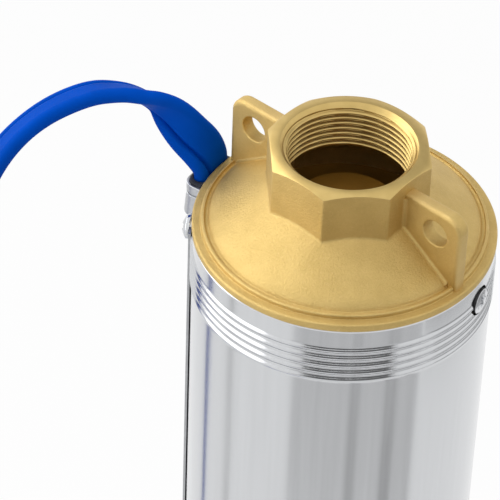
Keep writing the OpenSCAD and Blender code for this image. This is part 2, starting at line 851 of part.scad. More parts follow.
module flange_nuts() {
    color("silver") for (az = stud_azs) {
        toward(az) translate([stud_pcd_r, 0, z_window]) difference() {
            cylinder(h = nut_h, r = nut_r, $fn = 6);
            translate([0, 0, -cut]) cylinder(h = nut_h + 2 * cut, r = stud_r);
        }
    }
}

// Casting in the top of the motor: flange, plug, upper bearing housing and seal pocket
module motor_upper_bracket() {
    housing_l = upper_plug_l - 4;
    color("dimgray") difference() {
        union() {
            translate([0, 0, z_upper]) cylinder(h = upper_h, r = motor_r);
            translate([0, 0, z_upper - upper_plug_l]) {
                tube(motor_seat_r, motor_seat_r - plug_wall, upper_plug_l + cut);
            }
            translate([0, 0, z_upper - housing_l]) cylinder(h = housing_l + cut, r = housing_r);
        }
        translate([0, 0, z_upper - housing_l - cut]) {
            cylinder(h = housing_l + upper_h, r = motor_bush_r + seat_c);
        }
        translate([0, 0, z_seal_ring]) cylinder(h = seal_pocket + cut, r = motor_bush_r + 4);
        for (az = stud_azs) {
            toward(az) translate([stud_pcd_r, 0, z_flange - stud_depth - cut]) {
                cylinder(h = stud_depth + 2 * cut, r = stud_r);
            }
        }
        toward(lead_az) translate([0, 0, z_plug]) {
            radial_rod(lead_plug_r, motor_r - plug_bore_l, motor_r + cut);
            translate([motor_r - plug_bore_l + 2, 0, -upper_h]) cylinder(h = upper_h, r = lead_plug_r - 1);
        }
    }
}

module seal_ring() {
    color("whitesmoke") translate([0, 0, z_seal_ring]) {
        tube(motor_bush_r + 4 - seat_c, journal_r + 1.2, seal_ring_t);
    }
}

module seal_face() {
    color("dimgray") translate([0, 0, z_seal_face]) {
        tube(motor_bush_r, shaft_r + seat_c, z_slinger - z_seal_face - 0.1);
    }
}

// Rubber disc that throws grit away from the seal
module sand_slinger() {
    color("dimgray") rotate_extrude() {
        polygon([[shaft_r + seat_c, z_slinger], [shaft_r + 5, z_slinger], [slinger_r, z_slinger - 1],
                 [slinger_r, z_slinger + 1], [shaft_r + 5, z_slinger + 3],
                 [shaft_r + 4, z_slinger + slinger_h], [shaft_r + seat_c, z_slinger + slinger_h]]);
    }
}

module motor_shell() {
    color("lightgray") translate([0, 0, z_motor]) tube(motor_r, motor_in, motor_shell_l);
}

module slot_plan(gap) {
    for (s = [0:slot_count - 1]) {
        rotate(360 * s / slot_count) translate([slot_in + gap, -slot_w / 2 + gap]) {
            square([slot_out - slot_in - 2 * gap, slot_w - 2 * gap]);
        }
    }
}

module stator_core() {
    color("slategray") translate([0, 0, z_core]) linear_extrude(stator_l) difference() {
        circle(r = motor_seat_r);
        circle(r = bore_r);
        slot_plan(0);
    }
}

// Bars in the slots, joined by a rounded bundle of end turns at each end
module stator_windings() {
    turn_r = (slot_in + slot_out) / 2 + 1;
    half = (slot_out - slot_in) / 2;
    color("chocolate") {
        translate([0, 0, z_core - 2]) linear_extrude(stator_l + 4) slot_plan(0.15);
        for (z = [z_core - overhang, z_core + stator_l + 1]) {
            rotate_extrude() {
                translate([turn_r - half + 4, z]) square([2 * half - 8, overhang - 1]);
                translate([turn_r - half, z + 4]) square([2 * half, overhang - 9]);
                for (x = [turn_r - half + 4, turn_r + half - 4]) {
                    for (y = [z + 4, z + overhang - 5]) {
                        translate([x, y]) circle(r = 4);
                    }
                }
            }
        }
    }
}

// Lamination stack with its two end rings
module rotor_core() {
    ring_l = 9;
    color("gray") rotate_extrude() {
        polygon([[journal_r + 2.5 + seat_c, z_core - ring_l], [rotor_r - 1.5, z_core - ring_l],
                 [rotor_r - 1.5, z_core], [rotor_r, z_core], [rotor_r, z_core + stator_l],
                 [rotor_r - 1.5, z_core + stator_l], [rotor_r - 1.5, z_core + stator_l + ring_l],
                 [journal_r + 2.5 + seat_c, z_core + stator_l + ring_l]]);
    }
}

module motor_shaft() {
    body_r = journal_r + 2.5;
    low = z_motor + lower_plug_l + 2;
    high = z_upper - upper_plug_l + 2;
    top = z_flange + shaft_stick_out;
    color("silver") rotate_extrude() {
        polygon([[0, z_runner], [journal_r, z_runner], [journal_r, low], [body_r, low], [body_r, high],
                 [journal_r, high], [journal_r, z_seal_ring + 1], [shaft_r, z_seal_ring + 2],
                 [shaft_r, top - 0.8], [shaft_r - 0.8, top], [0, top]]);
    }
}

module upper_bearing_bush() {
    color("dimgray") translate([0, 0, z_upper - upper_plug_l + 6]) {
        tube(motor_bush_r, journal_r + run_c, bearing_l);
    }
}

module lower_bearing_bush() {
    color("dimgray") translate([0, 0, z_motor + thrust_room]) {
        tube(motor_bush_r, journal_r + run_c, lower_plug_l - thrust_room);
    }
}

// Disc on the shaft's foot that runs on the thrust pads
module thrust_runner() {
    color("silver") translate([0, 0, z_runner]) tube(thrust_r - 1.5, journal_r + seat_c, runner_t);
}

module thrust_pads() {
    color("black") {
        translate([0, 0, z_motor + 2]) cylinder(h = 3, r = thrust_r);
        translate([0, 0, z_motor + 4.9]) linear_extrude(3.8) difference() {
            circle(r = thrust_r - 1.5);
            circle(r = 6);
            for (a = [0:60:300]) {
                rotate(a) translate([0, -1]) square([thrust_r, 2]);
            }
        }
    }
}

module thrust_cover() {
    color("silver") translate([0, 0, z_motor - 0.5]) cylinder(h = 2.5, r = housing_r + 2);
}

// Casting in the foot of the motor: plug, web, lower bearing and thrust chamber
module motor_lower_bracket() {
    color("dimgray") difference() {
        union() {
            translate([0, 0, z_motor]) tube(motor_seat_r, motor_seat_r - plug_wall, lower_plug_l);
            translate([0, 0, z_motor + 8]) cylinder(h = 8, r = motor_seat_r - 1);
            translate([0, 0, z_motor + 2]) cylinder(h = lower_plug_l - 2, r = housing_r + 2);
        }
        translate([0, 0, z_motor]) cylinder(h = lower_plug_l + cut, r = motor_bush_r + seat_c);
        translate([0, 0, z_motor]) cylinder(h = thrust_room, r = thrust_r + seat_c);
        for (a = [0:90:270]) {
            toward(a + 45) translate([cap_screw_pcd_r, 0, z_motor - cut]) {
                cylinder(h = cap_screw_l + 2 * cut, r = cap_screw_r);
            }
            toward(a) translate([(motor_in + housing_r) / 2 - 2, 0, z_motor]) {
                cylinder(h = vent_l, r = vent_r);
            }
        }
    }
}

// Rubber cup that takes up the filling's expansion
module pressure_diaphragm() {
    seat_in = motor_r - cap_wall;
    deep = z_motor - end_cap_h + end_floor_t + 2;
    color("dimgray") difference() {
        rotate_extrude() {
            polygon([[0, deep], [seat_in - 8, deep], [seat_in - 1, deep + 7],
                     [seat_in - 1, z_motor - diaphragm_t],
                     [motor_seat_r, z_motor - diaphragm_t], [motor_seat_r, z_motor],
                     [seat_in - 1 - diaphragm_t, z_motor], [seat_in - 1 - diaphragm_t, deep + 8],
                     [seat_in - 8 - diaphragm_t / 2, deep + diaphragm_t], [0, deep + diaphragm_t]]);
        }
        for (a = [0:90:270]) {
            toward(a + 45) translate([cap_screw_pcd_r, 0, z_motor - 2 * diaphragm_t]) {
                cylinder(h = 4 * diaphragm_t, r = cap_screw_r + 0.2);
            }
        }
    }
}

// Cup under the motor with the flat foot that the pump stands on
module motor_end_cap() {
    color("dimgray") difference() {
        rotate_extrude() {
            polygon([[0, 0], [motor_r - 3, 0], [motor_r, 3], [motor_r, z_motor], [motor_in, z_motor],
                     [motor_in, z_motor - diaphragm_t], [motor_r - cap_wall, z_motor - diaphragm_t],
                     [motor_r - cap_wall, end_floor_t], [0, end_floor_t]]);
        }
        for (a = [0:90:270]) {
            toward(a + 45) translate([cap_screw_pcd_r, 0, -cut]) {
                cylinder(h = z_motor + 2 * cut, r = cap_screw_r + 0.2);
                cylinder(h = cut + cap_sink, r = cap_screw_r + 1.8);
            }
            toward(a) translate([motor_r / 2, 0, -cut]) cylinder(h = end_floor_t + 2 * cut, r = 2);
        }
    }
}

module end_cap_screws() {
    color("silver") for (a = [0:90:270]) {
        toward(a + 45) translate([cap_screw_pcd_r, 0, cap_sink]) {
            translate([0, 0, -cut]) {
                cylinder(h = z_motor - cap_sink + cap_screw_l + cut, r = cap_screw_r - seat_c);
            }
            translate([0, 0, cut - cap_sink]) cylinder(h = cap_sink - cut - seat_c, r = cap_screw_r + 1.6);
        }
    }
}

// Sheet channel over the lead, with a wing on each side that is screwed to the pump
module cable_guard() {
    difference() {
        color("lightgray") translate([0, 0, z_guard_foot]) linear_extrude(z_guard_top - z_guard_foot) {
            toward(lead_az) {
                difference() {
                    channel_outline(0);
                    channel_outline(-guard_t);
                    translate([wing_r - cut, guard_t - guard_half]) {
                        square([2 * cut, 2 * (guard_half - guard_t)]);
                    }
                }
                difference() {
                    intersection() {
                        difference() {
                            circle(r = wing_r + guard_t);
                            circle(r = wing_r);
                        }
                        polygon([[0, 0], [2 * wing_r, 2 * wing_r * tan(wing_angle)],
                                 [2 * wing_r, -2 * wing_r * tan(wing_angle)]]);
                    }
                    translate([0, -guard_half + guard_t / 2]) {
                        square([2 * wing_r, 2 * guard_half - guard_t]);
                    }
                }
            }
        }
        for (az = guard_azs) {
            for (z = z_guard_screws) {
                toward(az) translate([0, 0, z]) {
                    radial_rod(screw_r + 0.2, wing_r - cut, wing_r + guard_t + cut);
                }
            }
        }
    }
}

// Short band round the grommet, with a wider skirt over the top of the guard
module cable_saddle() {
    gap = saddle_gap;
    color("silver") translate([0, 0, z_saddle]) toward(lead_az) {
        linear_extrude(saddle_skirt_h) difference() {
            channel_outline(gap + saddle_t + saddle_flare);
            channel_outline(gap + saddle_flare);
        }
        translate([0, 0, saddle_skirt_h - saddle_t]) linear_extrude(saddle_t) difference() {
            channel_outline(gap + saddle_t + saddle_flare);
            channel_outline(gap);
        }
        translate([0, 0, saddle_skirt_h - saddle_t])
        linear_extrude(saddle_t + 2 * saddle_neck_h) difference() {
            channel_outline(gap + saddle_t / 2);
            channel_outline(gap);
        }
        translate([0, 0, saddle_skirt_h + saddle_neck_h]) linear_extrude(band_h) difference() {
            channel_outline(gap + saddle_t);
            channel_outline(gap);
        }
    }
}

module cable_grommet() {
    color("black") toward(lead_az) {
        translate([0, 0, z_guard_top]) linear_extrude(grommet_h) difference() {
            channel_outline(saddle_gap - seat_c);
            translate([lead_r, 0]) scale(1 + 2 * seat_c / cable_t) cable_section();
        }
    }
}

module guard_screws() {
    color("silver") for (az = guard_azs) {
        for (z = z_guard_screws) {
            toward(az) translate([0, 0, z]) pan_screw(wing_r + guard_t + seat_c, seat_r - screw_l);
        }
    }
}

// Right-angle moulded plug: a round body in the motor's bracket and a flat tail under the guard
module motor_lead_plug() {
    color("black") toward(lead_az) {
        translate([0, 0, z_plug]) radial_rod(lead_plug_r - seat_c, motor_r - plug_in_l, lead_r);
        translate([lead_r, 0, z_plug - plug_half]) linear_extrude(2 * plug_half) cable_section();
    }
}

module guarded_lead() {
    color("royalblue") toward(lead_az) translate([lead_r, 0, z_plug + plug_half]) {
        linear_extrude(z_rim - z_plug - plug_half) cable_section();
    }
}

function unit(v) = v / norm(v);
function edge_angle(j) = [30, 60, 90, 120, 150, 210, 240, 270, 300, 330][j];
function ahead(i) = unit(route[min(i + 1, len(route) - 1)][0] - route[max(i - 1, 0)][0]);

// One ring of the free cable: ten points of the flat section, square to the route
function cable_ring(i) =
    let (t = ahead(i), w = unit(route[i][1] - (route[i][1] * t) * t), n = cross(t, w))
    [for (j = [0:9])
        let (a = edge_angle(j), s = sign(cos(a)) * (cable_w - cable_t) / 2)
        route[i][0] + (s * (abs(cos(a)) > 0.01 ? 1 : 0) + cable_t / 2 * cos(a)) * w
            + cable_t / 2 * sin(a) * n];

module free_cable() {
    sides = 10;
    count = len(route);
    points = [for (i = [0:count - 1]) each cable_ring(i)];
    walls = [for (i = [0:count - 2]) for (j = [0:sides - 1])
        let (k = (j + 1) % sides, p = i * sides, q = p + sides)
        each [[p + j, q + j, q + k], [p + j, q + k, p + k]]];
    ends = [[for (j = [0:sides - 1]) j], [for (j = [0:sides - 1]) count * sides - 1 - j]];
    color("royalblue") polyhedron(points, concat(walls, ends));
}

// Outer shape of the coil, with a shallow groove where the tie passes under it
module cable_coil() {
    color("royalblue") translate([coil_x, coil_y, 0]) difference() {
        tube(coil_out_r + cable_t / 2, coil_in_r - cable_t / 2, 2 * coil_z);
        rotate([0, 0, tie_angle]) translate([coil_in_r - cable_t, -tie_w / 2 - 0.5, -cut]) {
            cube([coil_turns * coil_pitch + 2 * cable_t, tie_w + 1, cut + tie_t + 0.2]);
        }
    }
}

module coil_tie() {
    low = coil_in_r - cable_t / 2 - 0.4;
    wide = coil_turns * coil_pitch + cable_t + 0.6;
    high = 2 * coil_z;
    color("black") translate([coil_x, coil_y, 0]) rotate([0, 0, tie_angle]) difference() {
        translate([low - tie_t, -tie_w / 2, 0]) cube([wide + 2 * tie_t, tie_w, high + tie_t + 0.2]);
        translate([low, -tie_w, tie_t]) cube([wide, 2 * tie_w, high - tie_t + 0.2]);
    }
}

delivery_head();
head_o_ring();
head_lock_screw();
valve_seat();
check_valve_poppet();
poppet_seal();
poppet_spring();
spring_retainer();
pump_shell();
top_bearing_spider();
top_bearing_bush();
pump_shaft();
impeller_lock_nut();
shaft_coupling();
suction_bracket();
suction_strainer();
strainer_screws();
flange_studs();
flange_nuts();
motor_upper_bracket();
seal_ring();
seal_face();
sand_slinger();
motor_shell();
stator_core();
stator_windings();
rotor_core();
motor_shaft();
upper_bearing_bush();
lower_bearing_bush();
thrust_runner();
thrust_pads();
thrust_cover();
motor_lower_bracket();
pressure_diaphragm();
motor_end_cap();
end_cap_screws();
cable_guard();
cable_saddle();
cable_grommet();
guard_screws();
motor_lead_plug();
guarded_lead();
free_cable();
cable_coil();
coil_tie();
for (i = [1:stage_count]) {
    impeller(i);
    stage_bowl(i);
}
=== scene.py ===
import json
import math

import bmesh
import bpy
from bpy.props import FloatProperty, FloatVectorProperty, IntProperty, PointerProperty
from mathutils import Matrix, Vector
from mathutils.geometry import tessellate_polygon


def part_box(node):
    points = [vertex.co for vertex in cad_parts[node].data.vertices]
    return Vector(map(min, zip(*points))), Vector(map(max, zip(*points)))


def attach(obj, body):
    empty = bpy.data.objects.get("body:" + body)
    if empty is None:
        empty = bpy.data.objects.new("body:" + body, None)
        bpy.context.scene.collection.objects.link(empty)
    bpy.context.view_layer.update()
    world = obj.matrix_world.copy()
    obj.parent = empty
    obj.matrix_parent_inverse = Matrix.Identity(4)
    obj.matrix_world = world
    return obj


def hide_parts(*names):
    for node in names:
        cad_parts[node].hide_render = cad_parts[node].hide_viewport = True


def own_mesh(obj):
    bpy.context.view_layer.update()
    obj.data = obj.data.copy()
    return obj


bl_info = {
    "name": "Borehole pump dresser",
    "version": (1, 0, 0),
    "blender": (4, 5, 0),
    "location": "3D View > Sidebar > Pump",
    "description": "Builds the casting, shells, cable, fittings and studio round a packed borehole pump",
    "category": "Add Mesh",
}

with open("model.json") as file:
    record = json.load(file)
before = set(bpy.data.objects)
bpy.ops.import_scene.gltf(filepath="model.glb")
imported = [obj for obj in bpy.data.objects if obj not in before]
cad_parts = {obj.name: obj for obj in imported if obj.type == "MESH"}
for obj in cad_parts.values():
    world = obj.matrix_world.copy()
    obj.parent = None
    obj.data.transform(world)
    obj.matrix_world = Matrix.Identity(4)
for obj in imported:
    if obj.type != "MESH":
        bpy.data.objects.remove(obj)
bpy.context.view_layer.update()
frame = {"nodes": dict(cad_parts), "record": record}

# Levels and radii that the frame gives
HEAD_LOW, HEAD_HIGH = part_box("delivery_head")
SHELL_LOW, SHELL_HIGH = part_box("pump_shell")
MOTOR_LOW, MOTOR_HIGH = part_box("motor_shell")
GROMMET_LOW, GROMMET_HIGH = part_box("cable_grommet")
SADDLE_LOW, SADDLE_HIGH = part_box("cable_saddle")
SKIRT_Z = HEAD_LOW.z
RIM_Z = SHELL_HIGH.z
NECK_Z = HEAD_HIGH.z
RIM_R = HEAD_HIGH.x
MOTOR_R = MOTOR_HIGH.x

# Angles round a quarter bend
QUARTER = [math.radians(15 * k) for k in range(7)]

# Route of the free cable: each entry is the place of the cable's middle and the direction of its width.
# The arch is given as offsets from the grommet's mouth, the drop as places down to the floor.
ARCH = [
    ((0, 0, 0), (-0.5, -0.87, 0)),
    ((0, 0, 0.003), (-0.55, -0.83, 0)),
    ((-0.0015, 0, 0.0065), (-0.65, -0.7, -0.25)),
    ((-0.004, 0.0005, 0.010), (-0.75, -0.45, -0.45)),
    ((-0.0075, 0.001, 0.0135), (-0.75, -0.3, -0.6)),
    ((-0.013, 0.0025, 0.020), (-0.45, 0.15, -0.85)),
    ((-0.0175, 0.0035, 0.023), (-0.15, 0.55, -0.8)),
    ((-0.021, 0.0045, 0.024), (0, 0.75, -0.65)),
    ((-0.027, 0.005, 0.0255), (0, 0.85, -0.5)),
    ((-0.033, 0.005, 0.0255), (-0.05, 0.9, -0.4)),
    ((-0.039, 0.0045, 0.025), (-0.1, 0.95, -0.3)),
    ((-0.046, 0.0025, 0.023), (-0.2, 0.95, -0.3)),
    ((-0.053, 0, 0.020), (-0.3, 0.9, -0.35)),
    ((-0.0595, -0.004, 0.0165), (-0.3, 0.85, -0.4)),
    ((-0.065, -0.008, 0.012), (-0.35, 0.85, -0.4)),
    ((-0.070, -0.011, 0.005), (-0.3, 0.9, -0.3)),
    ((-0.074, -0.013, -0.005), (-0.25, 0.95, -0.15)),
    ((-0.077, -0.014, -0.018), (-0.2, 1, 0)),
    ((-0.079, -0.013, -0.038), (-0.2, 1, 0)),
    ((-0.080, -0.010, -0.065), (-0.3, 1, 0)),
    ((-0.080, -0.006, -0.105), (-0.4, 0.9, 0)),
]
DROP = [
    ((-0.125, 0.023, 0.540), (-0.6, 0.8, 0)),
    ((-0.126, 0.025, 0.460), (-0.75, 0.65, 0)),
    ((-0.126, 0.026, 0.380), (-0.85, 0.5, 0)),
    ((-0.126, 0.026, 0.300), (-0.95, 0.3, 0)),
    ((-0.126, 0.026, 0.220), (-1, 0.1, 0)),
    ((-0.126, 0.026, 0.150), (-1, 0, 0)),
    ((-0.126, 0.025, 0.100), (-1, 0, 0)),
    ((-0.126, 0.023, 0.065), (-1, 0, 0)),
    ((-0.126, 0.017, 0.038), (-0.95, 0, -0.3)),
    ((-0.126, 0.007, 0.020), (-0.8, 0, -0.6)),
    ((-0.126, -0.006, 0.011), (-0.5, 0, -0.85)),
    ((-0.126, -0.019, 0.009), (-0.1, 0, -1)),
]


def length(name, description, default):
    """A length in metres that a user can change."""
    return FloatProperty(name=name, description=description, default=default, unit="LENGTH", precision=5)


def turn(name, description, degrees):
    """An angle, given here in degrees."""
    return FloatProperty(name=name, description=description, default=math.radians(degrees), unit="ROTATION")


def level(name, description, default):
    """A plain number from 0 up."""
    return FloatProperty(name=name, description=description, default=default, min=0)


def colour(name, description, default):
    """A linear colour."""
    return FloatVectorProperty(name=name, description=description, default=default, subtype="COLOR",
                               size=3, min=0, max=1)


class PUMP_PG_head(bpy.types.PropertyGroup):
    """Sizes of the brass delivery head."""
    rim_height: length("Rim height", "Height of the rim's wall", 0.0028)
    ledge_width: length("Ledge width", "Width of the flat on top of the rim", 0.0028)
    step_height: length("Step height", "Height of the step above the ledge", 0.0017)
    step_width: length("Step width", "Width of the flat on top of the step", 0.0022)
    groove: length("Groove", "Radius of the turned groove at the cone's foot", 0.0008)
    cone_height: length("Cone height", "Height of the cone up to the neck's corners", 0.0118)
    cone_wall: length("Cone wall", "Wall of the cone, measured level", 0.0086)
    skirt_gap: length("Skirt gap", "From the shell's widest radius in to the skirt", 0.0026)
    skirt_wall: length("Skirt wall", "Wall of the skirt inside the shell", 0.0056)
    shoulder_drop: length("Shoulder drop", "From the shell's top down to the valve seat's shoulder", 0.002)
    across_flats: length("Across flats", "Width of the octagonal neck", 0.050)
    corner_round: length("Corner round", "Radius of the neck's upright corners", 0.0009)
    top_margin: length("Top margin", "Chamfer left at the middle of a flat", 0.0003)
    chamfer_slope: turn("Chamfer slope", "Slope of the turned chamfer on the neck", 35)
    foot_fillet: length("Foot fillet", "Cast fillet between cone and neck", 0.0016)
    mouth_radius: length("Mouth radius", "Radius at the root of the pipe thread", 0.02095)
    mouth_chamfer: length("Mouth chamfer", "Chamfer at the mouth", 0.0009)
    mouth_length: length("Mouth length", "Depth of the threaded mouth", 0.017)
    throat_step: length("Throat step", "Step from the thread's root out to the waterway", 0.0008)
    thread_pitch: length("Thread pitch", "Rise of the thread in one turn", 0.00205)
    thread_depth: length("Thread depth", "Height of the thread's crest", 0.0012)
    lug_azimuth: turn("Lug azimuth", "Direction of the right lug from the front", 52.5)
    lug_thickness: length("Lug thickness", "Thickness of a lifting lug", 0.005)
    lug_inset: length("Lug inset", "From the rim's edge in to the lug's outer edge", 0.002)
    lug_drop: length("Lug drop", "From the neck's top down to the lug's top", 0.0043)
    lug_corner: length("Lug corner", "Radius of the lug's outer top corner", 0.0055)
    lug_edge: length("Lug edge", "Rounding of the lug's edges", 0.0014)
    lug_fillet: length("Lug fillet", "Cast fillet at the lug's foot", 0.0011)
    hole_radius: length("Rope hole radius", "Radius of the rope hole", 0.0045)
    hole_edge: length("Rope hole edge", "Rounding of the rope hole's edges", 0.0006)
    hole_in: length("Rope hole inset", "From the lug's outer edge in to the hole", 0.0097)
    hole_drop: length("Rope hole drop", "From the lug's top down to the hole", 0.0088)


class PUMP_PG_shell(bpy.types.PropertyGroup):
    """Sizes of the stainless shells and their screws."""
    wall: length("Wall", "Sheet thickness of both shells", 0.0016)
    ridge_count: IntProperty(name="Ridges", description="Rolled ridges under the rim", default=5, min=1)
    ridge_pitch: length("Ridge pitch", "Spacing of the ridges", 0.00305)
    ridge_width: length("Ridge width", "Width of one ridge", 0.0026)
    ridge_height: length("Ridge height", "Height of one ridge", 0.0006)
    ridge_drop: length("Ridge drop", "From the rim down to the first ridge", 0.0082)
    lock_azimuth: turn("Lock screw azimuth", "Direction of the head's lock screw", 65)
    lock_hole: length("Lock screw hole", "Radius of the shell's hole round the lock screw", 0.0052)
    screw_drop: length("Screw drop", "From the rim down to the top screws", 0.0085)
    screw_low: length("Low screws", "Height of the guard's lower screws", 0.363)
    screw_head: length("Screw head radius", "Radius of the pan heads", 0.0043)
    screw_rise: length("Screw head height", "Height of the pan heads", 0.0028)
    cross_arm: length("Cross arm", "Half width of the cross recess's arms", 0.0008)
    cross_reach: length("Cross reach", "Reach of the cross recess's arms", 0.0028)
    cross_depth: length("Cross depth", "Depth of the cross recess", 0.0015)
    guard_edge: level("Guard screw edge", "Share of the head's height at a guard screw's edge", 0.45)
    lock_edge: level("Lock screw edge", "Share of the head's height at the lock screw's edge", 0.85)
    screw_shank: length("Screw radius", "Radius of the screws", 0.0024)
    screw_reach: length("Screw reach", "Length of the screws below their heads", 0.005)


class PUMP_PG_cable(bpy.types.PropertyGroup):
    """Sizes of the flat cable, its guard's fittings and its coil."""
    azimuth: turn("Lead azimuth", "Direction of the cable guard from the front", -120)
    width: length("Width", "Width of the flat cable", 0.015)
    thickness: length("Thickness", "Thickness of the flat cable", 0.005)
    groove_at: length("Groove place", "From the cable's middle to the groove beside its edge core", 0.0031)
    groove_depth: length("Groove depth", "Depth of that groove", 0.0016)
    groove_width: length("Groove width", "Half width of that groove", 0.0011)
    free_length: length("Free length", "Cable from the grommet to its bare end", 2.27)
    coil_x: length("Coil X", "Coil centre", -0.210)
    coil_y: length("Coil Y", "Coil centre", -0.045)
    coil_radius: length("Coil radius", "Middle of the outermost turn", 0.084)
    coil_turns: IntProperty(name="Coil turns", description="Turns lying on the floor", default=3, min=1)
    coil_pitch: length("Coil pitch", "Spacing of the turns", 0.0055)
    coil_level: length("Coil level", "Height of the cable's middle in the coil", 0.009)
    channel_foot: length("Channel foot", "Distance of the guard's wings from the axis", 0.04935)
    channel_top: length("Channel top", "Distance of the guard's face from the axis", 0.05535)
    channel_half: length("Channel half width", "Half of the guard's channel", 0.0092)
    channel_corner: length("Channel corner", "Outside corner radius of the channel", 0.0032)
    sheet: length("Sheet", "Sheet thickness of guard and saddle", 0.0008)
    saddle_gap: length("Saddle gap", "From the guard's channel to the saddle's sheet", 0.00015)
    saddle_band: length("Saddle band", "Height of the band at the saddle's top", 0.0033)
    saddle_neck: length("Saddle neck", "Height of the pinched neck under the band", 0.0008)
    saddle_flare: length("Saddle flare", "How far the saddle's skirt flares out", 0.0006)
    screw_spread: turn("Screw spread", "From the lead to the guard's screws", 22.5)


class PUMP_PG_spring(bpy.types.PropertyGroup):
    """Sizes of the check valve's spring."""
    wire: length("Wire", "Radius of the spring's wire", 0.0006)
    turns: IntProperty(name="Turns", description="Turns of the spring", default=5, min=1)
    lift: length("Valve lift", "How far the valve closes up the spring", 0.006)


class PUMP_PG_finish(bpy.types.PropertyGroup):
    """Colours of the finishes."""
    brass: colour("Brass", "Cast brass", (0.67, 0.49, 0.188))
    brass_dull: colour("Brass, dull", "Cast brass in its duller patches", (0.605, 0.435, 0.16))
    brass_cut: colour("Brass, machined", "Machined and rubbed brass", (0.72, 0.53, 0.24))
    steel: colour("Stainless", "Polished stainless steel", (0.64, 0.65, 0.665))
    cable: colour("Cable", "Blue cable sheath", (0.0, 0.075, 0.52))
    rubber: colour("Rubber", "Black rubber", (0.010, 0.012, 0.020))
    valve: colour("Valve", "Brown valve plastic", (0.24, 0.115, 0.012))
    stage: colour("Stage plastic", "Ivory stage plastic", (0.80, 0.72, 0.55))
    casting: colour("Motor castings", "Coated grey castings", (0.10, 0.105, 0.11))
    copper: colour("Copper", "Windings and bare strands", (0.62, 0.27, 0.10))
    carbon: colour("Carbon", "Carbon bearing bushes", (0.02, 0.02, 0.022))
    ceramic: colour("Ceramic", "White seal ring", (0.80, 0.80, 0.77))


class PUMP_PG_studio(bpy.types.PropertyGroup):
    """Camera, lights and floor."""
    camera: FloatVectorProperty(name="Camera", description="Place of the camera", size=3, unit="LENGTH",
                                default=(0, -0.7816, RIM_Z + 0.6731))
    yaw: turn("Yaw", "Camera's turn to the right", -2.196)
    pitch: turn("Pitch", "Camera's tilt down", 41.192)
    roll: turn("Roll", "Camera's roll", 2.176)
    lens: level("Lens", "Focal length in millimetres", 231.6)
    key_power: level("Key", "Watts of the key light", 7)
    side_power: level("Side", "Watts of the low light on the left", 3.5)
    fill_power: level("Fill", "Watts of the fill light", 2)
    top_power: level("Top", "Watts of the top light", 3)
    ambient: level("Ambient", "Light from all round", 0.52)
    floor_white: level("Floor white", "Share of plain white in the floor that the camera sees", 0.94)
    floor: colour("Floor", "Pale studio floor", (0.90, 0.90, 0.90))


def smooth(x):
    """Eases 0 to 1."""
    x = min(max(x, 0.0), 1.0)
    return x * x * (3 - 2 * x)


def facing(azimuth):
    """Level direction at an azimuth: 0 is -Y, and it grows towards +X."""
    return Vector((math.sin(azimuth), -math.cos(azimuth), 0))


def outward(azimuth):
    """Turns local +X to an azimuth, with +Z kept up."""
    return Matrix.Rotation(azimuth - math.pi / 2, 4, "Z")


def arc(cx, cy, radius, start, end, count):
    """Points on an arc, angles in degrees."""
    steps = [math.radians(start + (end - start) * i / (count - 1)) for i in range(count)]
    return [(cx + radius * math.cos(a), cy + radius * math.sin(a)) for a in steps]


def circle(cx, cy, radius, count):
    """Points on a full circle."""
    return arc(cx, cy, radius, 0, 360, count + 1)[:-1]


def add_mesh(name, part, look=None, sharp=32, materials=None):
    """Makes one smooth object with sharp edges from points and faces."""
    points, faces = part
    mesh = bpy.data.meshes.new(name)
    mesh.from_pydata([tuple(p) for p in points], [], faces)
    shape = bmesh.new()
    shape.from_mesh(mesh)
    bmesh.ops.recalc_face_normals(shape, faces=shape.faces)
    shape.to_mesh(mesh)
    shape.free()
    mesh.shade_smooth()
    mesh.set_sharp_from_angle(angle=math.radians(sharp))
    for material in materials or [material_for(look)]:
        mesh.materials.append(material)
    made = bpy.data.objects.new(name, mesh)
    bpy.context.scene.collection.objects.link(made)
    return made


def add_piece(name, part, slot, sharp=32, materials=None, body="casing"):
    """Makes one piece of the pump, on a body and with the finish of a slot."""
    piece = add_mesh(name, part, slot, sharp, materials)
    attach(piece, body)
    return piece


def loft(rings, closed=False):
    """Points and faces of a skin over closed rings that have equal counts."""
    count = len(rings[0])
    points = [p for ring in rings for p in ring]
    faces = []
    rows = len(rings) if closed else len(rings) - 1
    for i in range(rows):
        a, b = i * count, (i + 1) % len(rings) * count
        for j in range(count):
            k = (j + 1) % count
            faces.append((a + j, a + k, b + k, b + j))
    if not closed:
        faces.append(tuple(reversed(range(count))))
        faces.append(tuple(range(len(points) - count, len(points))))
    return points, faces


def lathe(profile_at, segments=256, start=0.0):
    """Points and faces of a closed profile turned about the axis: (radius, height) pairs for each angle."""
    rings = []
    for i in range(segments):
        angle = 2 * math.pi * i / segments
        out = facing(start + angle)
        rings.append([out * r + Vector((0, 0, z)) for r, z in profile_at(angle)])
    return loft(rings, closed=True)


def joined(parts):
    """One list of points and faces from several."""
    points, faces = [], []
    for more_points, more_faces in parts:
        base = len(points)
        points.extend(more_points)
        faces.extend(tuple(base + i for i in face) for face in more_faces)
    return points, faces


def moved(part, matrix):
    """A part's points after a move."""
    points, faces = part
    return [matrix @ Vector(p) for p in points], faces


def spline(t, p):
    """Point on a curve that passes through the middle two of four points."""
    return 0.5 * (2 * p[1] + (p[2] - p[0]) * t + (2 * p[0] - 5 * p[1] + 4 * p[2] - p[3]) * t * t
                  + (3 * p[1] - p[0] - 3 * p[2] + p[3]) * t ** 3)


def curve_through(stations, per=6):
    """A smooth run through stations of (place, direction), with steps between them."""
    run = []
    last = len(stations) - 1
    for i in range(last):
        near = [stations[min(max(k, 0), last)] for k in (i - 1, i, i + 1, i + 2)]
        for s in range(per):
            run.append(tuple(spline(s / per, [Vector(n[k]) for n in near]) for k in (0, 1)))
    run.append((Vector(stations[-1][0]), Vector(stations[-1][1])))
    return run


